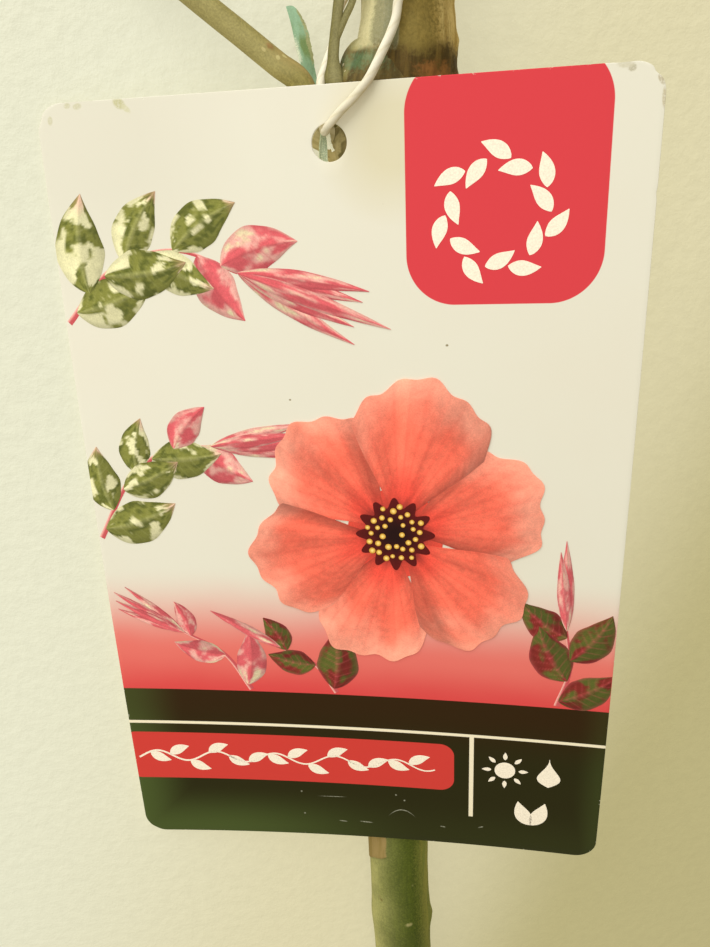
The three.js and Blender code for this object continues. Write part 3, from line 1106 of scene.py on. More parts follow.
class Workbench:
    """Turns shapes into finished pieces in the row frame.

    Attributes:
        shift: Millimetres from the bench frame to the row frame.
        effects: The shared node groups.
        materials: The materials made so far, by name.
    """

    def __init__(self, shift: Array) -> None:
        """Sets up the bench.

        Args:
            shift: Millimetres from the bench frame to the row frame.
        """
        self.shift = shift
        self.effects = SharedEffects()
        self.materials: dict[str, bpy.types.Material] = {}

    def finish(self, look: Finish) -> bpy.types.Material:
        """Gives the material of a finish, which is made once.

        Args:
            look: The finish.

        Returns:
            Its material.
        """
        if look.name not in self.materials:
            self.materials[look.name] = look.material(self.effects)
        return self.materials[look.name]

    def mesh(self, name: str, surface: Surface, sharp_deg: float = 50.0) -> bpy.types.Mesh:
        """Writes a shape's points, faces and kept values into a mesh.

        Args:
            name: The mesh's name.
            surface: The shape.
            sharp_deg: Angle past which an edge between faces stays sharp.

        Returns:
            The mesh, in metres in the row frame.
        """
        mesh = bpy.data.meshes.new(name)
        points = (surface.points + self.shift) * MM
        mesh.from_pydata(points, [], surface.faces)
        mesh.shade_smooth()
        mesh.set_sharp_from_angle(angle=math.radians(sharp_deg))
        kinds = {1: ("FLOAT", "value"), 3: ("FLOAT_VECTOR", "vector"), 4: ("FLOAT_COLOR", "color")}
        for key, value in surface.values.items():
            if key == "map":
                corner = np.zeros(len(mesh.loops), np.int32)
                mesh.loops.foreach_get("vertex_index", corner)
                places = value[corner].astype(np.float32)
                mesh.uv_layers.new(name="card").data.foreach_set("uv", places.ravel())
                continue
            if key == "ink":
                value = np.hstack([value, np.ones((len(value), 1))])
            kind, member = kinds[value.size // len(value)]
            numbers = value.astype(np.float32).ravel()
            mesh.attributes.new(key, kind, "POINT").data.foreach_set(member, numbers)
        mesh.update()
        return mesh

    def piece(
        self, name: str, surface: Surface, look: Finish, slot: str, replaces: Sequence[str] = ()
    ) -> None:
        """Makes a finished piece that rides on the part.

        Args:
            name: The piece's name.
            surface: Its shape.
            look: Its finish.
            slot: Name of a material slot, which is only logged.
            replaces: The solids that it stands for.
        """
        obj = bpy.data.objects.new(name, self.mesh(name, surface))
        bpy.context.scene.collection.objects.link(obj)
        obj.data.materials.append(self.finish(look))
        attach(obj, "root")
        if replaces:
            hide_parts(*replaces)
        LOG.info("%s: %d points, %d faces, slot %s", name, len(surface.points), len(surface.faces), slot)


# Limbs


@dataclass(frozen=True)
class Bump:
    """A raised or sunken spot on a limb.

    Attributes:
        turn_deg: Place round the limb, 0 on top and 90 to the right.
        y: Place along the limb, as the y of its middle line.
        across: Half width of the spot.
        along: Half length of it.
        height: How far it stands out.
    """

    turn_deg: float
    y: float
    across: float
    along: float
    height: float = 0.0


@dataclass(frozen=True)
class Patch:
    """A patch on a limb with a straight right side and a sloping lower edge.

    Attributes:
        right_deg: Where its right side is, as an angle round the limb.
        left_deg: Where its left side is.
        foot_y: y of its lower edge at the right side.
        slope: How far that edge falls for each degree to the left.
        top_y: y of its upper edge.
    """

    right_deg: float
    left_deg: float
    foot_y: float
    slope: float
    top_y: float


@dataclass
class LimbGrid:
    """A limb's rings before they become a shape.

    Attributes:
        line: Middle line, one point for each ring.
        turn: Angles round the limb, 0 on top.
        radius: Mean radius, one for each ring.
    """

    line: Array
    turn: Array
    radius: Array

    @property
    def right(self) -> Array:
        """How far the skin faces right, the sine of its angle, as a row."""
        return np.sin(self.turn)[None, :]

    @property
    def y(self) -> Array:
        """Each ring's y, as a column."""
        return self.line[:, 1][:, None]

    def spot(self, bump: Bump) -> Array:
        """A bell over the limb's skin: e to the minus squared distance in half widths.

        Args:
            bump: The spot.

        Returns:
            The bell's height, 0 to 1, by ring and round it.
        """
        turned = (self.turn - math.radians(bump.turn_deg) + math.pi) % (2 * math.pi) - math.pi
        across = turned[None, :] * self.radius[:, None] / bump.across
        return np.exp(-(across**2) - ((self.y - bump.y) / bump.along) ** 2)

    def spots(self, bumps: Sequence[Bump]) -> Array:
        """Adds up the bells of several spots."""
        return sum(self.spot(bump) for bump in bumps)

    def raised(self, bumps: Sequence[Bump]) -> Array:
        """Adds up the bells of several spots, each times its height."""
        return sum(self.spot(bump) * bump.height for bump in bumps)

    def patch(self, patch: Patch, ragged: Array) -> tuple[Array, Array]:
        """Works out a patch: the product of smooth steps over its sides, foot and top.

        Args:
            patch: The patch.
            ragged: Millimetres by which its edges are moved at each point.

        Returns:
            Its mask, and the bell of its lower rim.
        """
        degrees = (np.degrees(self.turn)[None, :] + 180.0) % 360.0 - 180.0
        over_foot = self.y - patch.foot_y - patch.slope * (degrees - patch.right_deg) + ragged
        between = np.minimum(patch.right_deg - degrees, degrees - patch.left_deg) / 8.0
        across = smoothstep(-0.3, 0.3, between + 0.4 * ragged)
        mask = across * smoothstep(-0.2, 0.25, over_foot) * smoothstep(0.5, -0.5, self.y - patch.top_y)
        return mask, across * bell((over_foot + 0.15) / 0.4)

    def noise(self, across: float, along: float, seed: int, octaves: int = 3) -> Array:
        """Noise over the skin.

        Args:
            across: Size of a cell round the limb, in millimetres.
            along: Size of a cell along it.
            seed: Seed of the noise.
            octaves: Number of octaves.

        Returns:
            Noise from -1 to 1, by ring and round it.
        """
        cells = max(3, round(2 * math.pi * float(self.radius.mean()) / across))
        share, y = np.broadcast_arrays((self.turn / (2 * math.pi))[None, :], self.y)
        return cloud(share, y + 300.0, cells, along, seed, octaves)

    def rings(self, wide: Array, high: Array) -> Array:
        """Places the rings: the middle line plus wide sines to the side and high cosines over.

        Args:
            wide: Half widths, by ring and round it.
            high: Half heights.

        Returns:
            The points, by ring and round it.
        """
        side, over = cross_frame(self.line)
        across = side[:, None] * (self.right * wide)[..., None]
        return self.line[:, None] + across + over[:, None] * (np.cos(self.turn) * high)[..., None]

    def closed(self, skin: Array, values: dict[str, Array]) -> Surface:
        """Closes a round skin, given by its radii, into a tube."""
        return rod(self.rings(skin, skin), values)

    def kept(
        self, light_deg: float, floor: float = 0.15, power: float = 1.0, **masks: Array
    ) -> dict[str, Array]:
        """Gathers what the bark's material reads.

        The unrolled place is a circle of the mean radius and the length along the limb. The painted
        lit side is half of one plus the cosine of the angle from it, to a power.

        Args:
            light_deg: Direction of the painted lit side.
            floor: Its least share, on the side away.
            power: How fast it fades.
            masks: Masks of the marks, by name.

        Returns:
            The values, by name.
        """
        shape = (len(self.line), len(self.turn))
        steps = np.linalg.norm(np.diff(self.line, axis=0), axis=1)
        reach = np.concatenate([[0.0], np.cumsum(steps)])[:, None]
        mean = float(self.radius.mean())
        place = np.broadcast_arrays(np.cos(self.turn)[None, :] * mean, self.right * mean, reach)
        facing = (0.5 + 0.5 * np.cos(self.turn - math.radians(light_deg))) ** power
        values = {"bark_place": np.stack(place, axis=-1)}
        # Painted light: the side towards light_deg is paler.
        masks["painted_lit_side"] = floor + (1 - floor) * facing[None, :]
        return values | {name: np.broadcast_to(mask, shape) for name, mask in masks.items()}


def round_turn(count: int) -> Array:
    """Gives evenly spaced angles of one full turn."""
    return np.linspace(0.0, 2 * math.pi, count, endpoint=False)


def sawn_disc(line: Array, radius: float, seed: int, thickness: float = 0.5) -> Surface:
    """A thin sawn disc at a limb's end, with a rounded rim and a slightly uneven face.

    Rings run from the middle of the face out over the rim and back to the middle behind. The
    face stands a tenth of a millimetre proud of the limb's end, and its height is noise of a few
    hundredths.

    Args:
        line: The limb's middle line, which runs towards the end.
        radius: The disc's radius.
        seed: Seed of the noise.
        thickness: Its thickness.

    Returns:
        The closed disc, with each point's share of the radius kept.
    """
    face, rim, proud = 26, 96, 0.12
    out = np.concatenate([np.linspace(0.02, 0.97, face), [0.99, 1.0, 1.0, 0.98], np.linspace(0.9, 0.05, 5)])
    drop = np.concatenate([np.zeros(face), [0.04, 0.1, thickness - 0.1, thickness], np.full(5, thickness)])
    turn = round_turn(rim)
    axis = normalised(line[-1] - line[-4])
    side = normalised(np.cross(axis, UP))
    over = np.cross(side, axis)
    uneven = cloud(turn[None, :] / (2 * math.pi), out[:, None] * 6, 9, 1.0, seed) * 0.05
    uneven = uneven * (drop[:, None] < thickness / 2)
    around = np.sin(turn)[None, :, None] * side + np.cos(turn)[None, :, None] * over
    grid = line[-1] + out[:, None, None] * radius * around
    grid = grid - axis * (drop[:, None, None] - proud - uneven[..., None])
    share = np.broadcast_to(out[:, None], grid.shape[:2])
    return rod(grid[::-1], {"out_share": share[::-1]})


TRUNK = Route((
    (9.3, -134, 7.2), (8.9, -84, 7.3), (9.8, -10, 7.5), (11.0, 48, 8.8),
    (11.7, 68, 9.3), (12.6, 79, 9.35), (13.2, 84.5, 9.6),
))


@dataclass
class Stem:
    """The willow stock, from its sawn foot to the neck below the graft.

    Attributes:
        foot_y: y of the sawn foot.
        top_y: y where the graft union starts.
        radius: Radius at the foot.
        neck_radius: Radius at the neck.
        nodes: Bud nodes, as y, swell and reach along the stem.
        scar: A healed patch where a shoot was cut off.
        buds: Bud scars.
        lenticels: Single pores that show well.
        notches: Small dark dents.
    """

    foot_y: float = -134
    top_y: float = 52
    radius: float = 7
    neck_radius: float = 7.5
    nodes: tuple[Place, ...] = ((-105.3, 0.28, 4.2), (-58, 0.2, 6), (-14, 0.24, 6), (30, 0.22, 6))
    scar: Patch = Patch(-33, -128, -82.2, 0.0886, -71)
    buds: tuple[Bump, ...] = (
        Bump(86, -107.4, 2.4, 2.1, 0.42), Bump(-140, -60, 1.9, 2.4, 0.5),
        Bump(150, -14.5, 1.9, 2.4, 0.5), Bump(-80, 31, 1.7, 2.2, 0.45),
    )
    lenticels: tuple[Bump, ...] = (
        Bump(5.5, -102.6, 0.75, 0.45, 0.12), Bump(-55, -95.8, 0.4, 0.35, 0.1),
        Bump(16, -91.1, 0.3, 0.5, 0.04),
    )
    notches: tuple[Bump, ...] = (Bump(-51, -96.8, 0.55, 0.6, -0.2), Bump(59, -100.8, 0.4, 0.4, -0.08))

    def girth(self, y: Array) -> Array:
        """The radius: the foot's, a neck that grows by the cube of the height, and node swells.

        Args:
            y: Places along the stem.

        Returns:
            The radii there.
        """
        grown = unit((y - self.foot_y) / (self.top_y - self.foot_y))
        swells = sum(swell * bell((y - at) / reach) for at, swell, reach in self.nodes)
        return self.radius + (self.neck_radius - self.radius) * grown**3 + swells

    def build(self, bench: Workbench) -> None:
        """Builds the bark and the sawn foot.

        The skin is the girth, less fine wrinkles drawn out along the stem, plus bells at the buds,
        pores and notches. The healed patch and its lower rim stand out a little.

        Args:
            bench: The workbench.
        """
        line = TRUNK.at(np.linspace(0.0, TRUNK.share_at(self.top_y + 1.2), 600))
        grid = LimbGrid(line, round_turn(150), self.girth(line[:, 1]))
        wrinkle = grid.noise(1.3, 7.0, 11) * 0.07 + grid.noise(4.5, 22.0, 12) * 0.1
        skin = grid.radius[:, None] - 0.1 + wrinkle - np.abs(grid.noise(9.0, 1.1, 13, 2)) * 0.03
        healed, rim = grid.patch(self.scar, 0.5 * grid.noise(2.2, 1.4, 15))
        bud = grid.spots([Bump(b.turn_deg, b.y + 0.4, 0.8, 1.0) for b in self.buds])
        skin = skin + grid.raised((*self.buds, *self.lenticels, *self.notches))
        skin = skin + 0.22 * healed + 0.05 * rim + 0.15 * bud
        pore = 1.3 * sum(min(1.0, 9.0 * b.height) * grid.spot(b) for b in self.lenticels)
        # Partly painted light: the right side, away from the lamps, is browner and paler.
        brown_and_painted_light = unit(1.5 * np.sin(grid.turn - 0.2))[None, :] * (0.8 + 0.3 * grid.noise(4.0, 18.0, 14))
        dark = rim * 0.4 + bud * 0.8 + 0.7 * grid.spots(self.notches)
        values = grid.kept(
            -88.0, 0.0, 3.9, healed=healed, pore=unit(pore), brown_and_painted_light=brown_and_painted_light, dark_edge=unit(dark))
        bench.piece("stem_bark", grid.closed(skin, values), STOCK_BARK, "stock_bark", ["stem"])
        foot = sawn_disc(line[::-1], self.radius - 0.55, 21)
        bench.piece("stem_sawn_foot", foot, CutWoodFinish(), "stock_bark")


@dataclass
class GraftUnion:
    """The swollen union of stock and leader, under dark grafting wax.

    Attributes:
        start_y: y where it starts.
        length: Its length.
        neck_radius: Radius where it starts.
        half_width: Greatest half width.
        half_height: Greatest half height.
        shoulder_radius: Radius at its rounded end.
        full_at: Share of the length at which it is full.
        rounds_from: Share from which it rounds off.
        rounding_power: How late it rounds off.
        lumps: Lumps of wax and callus, the collar of the bough and a hollow beside the leader.
        frays: Small pale splinters in the wax.
    """

    start_y: float = 52
    length: float = 32.5
    neck_radius: float = 7.5
    half_width: float = 10
    half_height: float = 9.2
    shoulder_radius: float = 6.6
    full_at: float = 0.5
    rounds_from: float = 0.6
    rounding_power: float = 2.4
    lumps: tuple[Bump, ...] = (
        Bump(-80, 79.4, 2.4, 1.9, 0.45), Bump(-60, 76, 2.6, 2, 0.3), Bump(70, 79, 3, 2.4, 0.4),
        Bump(120, 66, 4, 5, 0.5), Bump(-130, 70, 4, 4, 0.5), Bump(176, 80, 3, 3, 0.4),
        Bump(-85, 66.4, 3.4, 2.6, 2.1), Bump(-82, 83.3, 3.2, 1.3, -1.3),
    )
    frays: tuple[Bump, ...] = (
        Bump(-72, 78.4, 0.3, 0.2), Bump(-80, 77.6, 0.2, 0.35), Bump(-66, 77.4, 0.3, 0.15),
        Bump(-88, 78.2, 0.2, 0.2),
    )

    def girths(self, y: Array) -> tuple[Array, Array]:
        """Gives the half width and height: from the neck to full by smoothstep, then down by a power.

        Args:
            y: Places along the union.

        Returns:
            Half widths and half heights.
        """
        reach = (y - self.start_y) / self.length
        rise = smoothstep(0.0, self.full_at, reach)
        fall = unit((reach - self.rounds_from) / (1 - self.rounds_from)) ** self.rounding_power
        full = self.half_width, self.half_height
        swollen = (self.neck_radius + (half - self.neck_radius) * rise for half in full)
        wide, high = (s + (self.shoulder_radius - s) * fall for s in swollen)
        return wide, high

    def build(self, bench: Workbench) -> None:
        """Builds the union's skin: girths, less soft folds, plus lumps, with a domed end.

        Args:
            bench: The workbench.
        """
        line = TRUNK.at(np.linspace(TRUNK.share_at(self.start_y - 0.8), 1.0, 150))
        wide, high = self.girths(line[:, 1])
        grid = LimbGrid(line, round_turn(170), (wide + high) / 2)
        skin = grid.noise(4.0, 6.0, 31) * 0.28 + grid.noise(1.4, 2.0, 32) * 0.1 - 0.2
        skin = skin + grid.raised(self.lumps)
        dome = np.sqrt(1.0 - np.linspace(0.0, 0.96, 12) ** 2)
        squeeze = np.concatenate([np.ones(len(line) - len(dome)), dome])[:, None]
        rings = grid.rings((wide[:, None] + skin) * squeeze, (high[:, None] + skin) * squeeze)
        ragged = grid.noise(3.0, 3.0, 35)
        bare = smoothstep(79.8, 82.0, grid.y + 1.2 * ragged)
        left = smoothstep(0.2, -0.35, grid.right)
        teal = grid.spot(Bump(-60, 79, 4.4, 1.5)) + 0.6 * grid.spot(Bump(-30, 78.6, 3, 1.4))
        values = grid.kept(
            -60.0, wax=smoothstep(69.0, 74.0, grid.y + 3.0 * ragged) * (1 - bare), old=bare * (1 - left),
            teal=unit(teal * (0.9 + 0.6 * grid.noise(2.0, 2.0, 34))),
            fresh=unit(bare * left + 1.3 * grid.spot(Bump(-78, 77, 2.6, 1.2))),
            mottle=smoothstep(0.0, 0.35, grid.noise(1.1, 1.3, 36)) * smoothstep(71.5, 69.5, grid.y),
            fray=unit(1.5 * grid.spots(self.frays)), film=1.2 * grid.spot(Bump(-46, 81.8, 3.6, 1.3)),
            # Painted light: the heel low on the left is paler where the label shades the union.
            painted_light_heel=grid.spot(Bump(-80, 65.8, 3.2, 1.9)),
        )
        bench.piece("graft_union_bark", rod(rings, values), UNION_BARK, "graft_wax", ["graft_union"])


@dataclass
class Leader:
    """The thick leader that goes on up from the union, with film, wax and knobs, sawn off.

    Attributes:
        route: Its middle line.
        radius: Radius at its base.
        tip_radius: Radius at its cut.
        film_deg: Middle and half width of the strip of film, as angles round it.
        flare: How far its foot spreads in front, to run into the union.
        wax_y: Height that the wax reaches on its left.
        wax_climb: How much higher it reaches on its right.
        knobs: Knobs on its right side.
    """

    route: Route = Route(((13.8, 76, 9.6), (14.5, 86, 9.9), (15.2, 101, 10.2), (15.8, 116, 10.4)))
    radius: float = 7.6
    tip_radius: float = 7.2
    film_deg: tuple[float, float] = (-53, 35)
    flare: float = 1
    wax_y: float = 80.6
    wax_climb: float = 0.8
    knobs: tuple[Bump, ...] = (
        Bump(84, 86.6, 2, 1.1, 0.25), Bump(80, 83, 2.2, 0.9, 0.3), Bump(88, 77.6, 2.4, 1.1, 0.35),
        Bump(70, 80, 2, 1.6, -0.25), Bump(55, 84.6, 1.6, 1.4, 0.22), Bump(62, 90, 2, 2, 0.25),
        Bump(90, 95, 2.2, 2.4, 0.3), Bump(40, 99, 1.8, 2.2, 0.2), Bump(75, 106, 2.4, 2.6, 0.3),
        Bump(-150, 92, 3, 3.4, 0.35), Bump(160, 104, 3, 3, 0.3),
    )

    def build(self, bench: Workbench) -> None:
        """Builds the bark and the sawn top.

        The skin is the tapering radius, less coarse cracked bark on the right and behind, a step
        for the film and one for the wax, plus the knobs and the flare of the foot.

        Args:
            bench: The workbench.
        """
        line = self.route.at(np.linspace(0.0, 1.0, 190))
        radius = np.linspace(self.radius, self.tip_radius, len(line))
        grid = LimbGrid(line, round_turn(180), radius)
        front = np.cos(grid.turn)[None, :]
        middle, half = (math.radians(a) for a in self.film_deg)
        off = np.abs((grid.turn - middle + math.pi) % (2 * math.pi) - math.pi)[None, :]
        film = smoothstep(0.06, -0.06, off - half * (1.0 + 0.12 * grid.noise(40.0, 5.0, 41)))
        wax_y = self.wax_y + self.wax_climb * smoothstep(-0.2, 0.75, grid.right)
        wax = smoothstep(2.0, -2.0, grid.y - wax_y - 1.4 * grid.noise(4.0, 3.0, 42))
        streak = bell((np.degrees(grid.turn) - 41.0) / 10.0)[None, :] * smoothstep(80.0, 83.0, grid.y)
        streak = streak * smoothstep(94.0, 88.0, grid.y) * (0.75 + 0.9 * grid.noise(1.6, 2.4, 49))
        # Coarse bark on the right and behind. Its paler colour is partly painted light on the side away from
        # the lamps.
        coarse = unit(unit(grid.right * 1.4 - 0.25) + unit(-front))
        cracks = np.abs(grid.noise(2.2, 3.6, 43)) * 0.3 * coarse + np.abs(grid.noise(1.2, 4.0, 44)) * 0.09
        skin = radius[:, None] - 0.06 - cracks * (1 - film) + film * 0.05 + wax * 0.12
        skin = skin + grid.raised(self.knobs)
        spread = smoothstep(-0.5, 0.3, front) * smoothstep(88.0, 80.0, grid.y)
        skin = skin + grid.noise(3.0, 6.0, 45) * 0.1 + self.flare * spread
        red = grid.spot(Bump(30, 77.6, 4.2, 1.6)) * (0.8 + 0.8 * grid.noise(1.8, 2.0, 46))
        teal = smoothstep(-0.2, 0.3, grid.noise(3.2, 2.4, 47)) * smoothstep(0.25, 0.7, -grid.right)
        grey = film * smoothstep(-0.9, -0.7, grid.right) * (1.05 + 0.5 * grid.noise(1.6, 5.0, 50))
        shown = smoothstep(79.4, 81.4, grid.y + 1.2 * grid.noise(2.0, 3.0, 42))
        values = grid.kept(
            -50.0, film=film * shown, grey_film=grey * shown, wax=unit(wax + 0.4 * streak), red=unit(red),
            teal=wax * teal * smoothstep(81.0, 79.8, grid.y), coarse=coarse,
        )
        bench.piece("leader_bark", grid.closed(skin, values), LEADER_BARK, "leader_bark", ["leader"])
        top = sawn_disc(line, self.tip_radius - 0.75, 48)
        bench.piece("leader_sawn_top", top, CutWoodFinish(), "leader_bark")


@dataclass
class LeftBough:
    """The bough that leaves the union to the upper left, with bud scars, cut short.

    Attributes:
        route: Its middle line.
        radius: Radius at its root.
        tip_radius: Radius at its cut.
        scars: Bud scars.
        pale_spots: Pale corky spots.
        heel: The swollen heel on its upper side, beside the tape.
        collar: Extra radius where it leaves the union.
    """

    route: Route = Route((
        (6.5, 67.6, 9.2), (3.2, 67.9, 9.8), (0.4, 68.7, 10.2), (-2.0, 70.2, 10.4), (-3.2, 73.4, 10.4),
        (-3.4, 77.2, 10.0), (-6.7, 80.0, 9.1), (-12.3, 84.8, 7.6), (-18.2, 89.8, 6.0), (-29, 99, 3.8),
        (-39, 107.5, 2.15),
    ))
    radius: float = 2.05
    tip_radius: float = 1.85
    scars: tuple[Bump, ...] = (Bump(34, 81.3, 0.55, 0.5, 0.2), Bump(-120, 97, 0.7, 0.6, 0.2))
    pale_spots: tuple[Bump, ...] = (
        Bump(16, 80, 0.4, 0.3, 0.06), Bump(44, 79.6, 0.3, 0.35, 0.06), Bump(2, 81.6, 0.3, 0.3, 0.05),
    )
    heel: Bump = Bump(60, 75.3, 1.6, 1.5, 0.7)
    collar: float = 0.25

    def build(self, bench: Workbench) -> None:
        """Builds the bark, a tapering radius with wrinkles, scars and a collar, and the cut.

        Args:
            bench: The workbench.
        """
        line = self.route.at(np.linspace(0.0, 1.0, 330))
        radius = np.linspace(self.radius, self.tip_radius, len(line))
        grid = LimbGrid(line, round_turn(72), radius)
        skin = radius[:, None] - 0.03 + grid.noise(0.9, 4.0, 51) * 0.05 + grid.noise(3.0, 9.0, 52) * 0.06
        skin = skin + self.collar * bell((grid.y - 69.0) / 2.5)
        skin = skin + grid.raised((*self.scars, *self.pale_spots, self.heel))
        # Partly painted light: the upper side is browner and paler than the lower.
        upper = unit(np.sin(grid.turn - 0.5))[None, :] * (0.7 + 0.5 * grid.noise(1.6, 8.0, 55))
        values = grid.kept(
            -60.0, scar=unit(grid.spots(self.scars)), pore=grid.spots(self.pale_spots),
            brown_and_painted_light=unit(upper + 0.6 * grid.spot(Bump(38, 79.4, 1.5, 2.6))),
            # Painted light: the root, seen through the label's hole, is paler where the label shades it.
            root=smoothstep(75.0, 71.0, grid.y + 2.0 * grid.noise(2.5, 4.0, 53)),
        )
        # Painted shade: the painted lit side is dimmed round y 76.6.
        painted_shade = 0.8 * bell((grid.y - 76.6) / 2.0)
        values["painted_lit_side"] = values["painted_lit_side"] * (1.0 - painted_shade)
        bench.piece("left_bough_bark", grid.closed(skin, values), BOUGH_BARK, "bough_bark", ["left_bough"])
        cut = sawn_disc(line, self.tip_radius - 0.25, 54)
        bench.piece("left_bough_cut", cut, CutWoodFinish(), "bough_bark")


@dataclass
class Twig:
    """A thin twig with a lumpy root and small nodes.

    Attributes:
        node: The solid that it stands for.
        route: Its middle line.
        radius: Radius at its root.
        tip_radius: Radius at its cut.
        seed: Seed of its wrinkles.
        lumps: Nodes along it.
    """

    node: str
    route: Route
    radius: float
    tip_radius: float
    seed: int
    lumps: tuple[Bump, ...] = ()

    def build(self, bench: Workbench) -> None:
        """Builds the twig, a tapering radius with wrinkles and lumps.

        Args:
            bench: The workbench.
        """
        line = self.route.at(np.linspace(0.0, 1.0, 150))
        radius = np.linspace(self.radius, self.tip_radius, len(line))
        grid = LimbGrid(line, round_turn(32), radius)
        skin = radius[:, None] * (0.97 + grid.noise(0.7, 3.0, self.seed) * 0.07) + grid.raised(self.lumps)
        end = np.linspace(0.0, 1.0, len(line))[:, None] > 0.996
        # Painted light: the twig is paler on its right side, away from the lamps.
        values = grid.kept(60.0, 0.0, 1.5, cut=end.astype(float))
        bench.piece(f"{self.node}_bark", grid.closed(skin, values), TWIG_BARK, "twig_bark", [self.node])


LONG_TWIG = Twig(
    "long_twig",
    Route((
        (4.6, 68, 11.0), (2.7, 70.5, 11.4), (1.85, 73.2, 11.8), (1.65, 76.7, 12.1), (1.97, 80.5, 12.45),
        (3.2, 87.9, 13.1), (4.85, 97, 13.7), (5.95, 107, 14.1),
    )),
    0.94, 0.78, 71,
    (
        Bump(72, 76.4, 1.5, 1.8, 0.95), Bump(95, 78.6, 0.7, 1.2, 0.4), Bump(-84, 76.8, 0.8, 1.7, 0.5),
        Bump(-60, 90, 0.6, 0.7, 0.12),
    ),
)
SHORT_TWIG = Twig(
    "short_twig", Route(((2.4, 82.6, 12.7), (4.0, 85.5, 13.1), (5.3, 87.8, 13.4), (6.6, 93.5, 14.9))),
    0.62, 0.5, 72,
)


# Tape


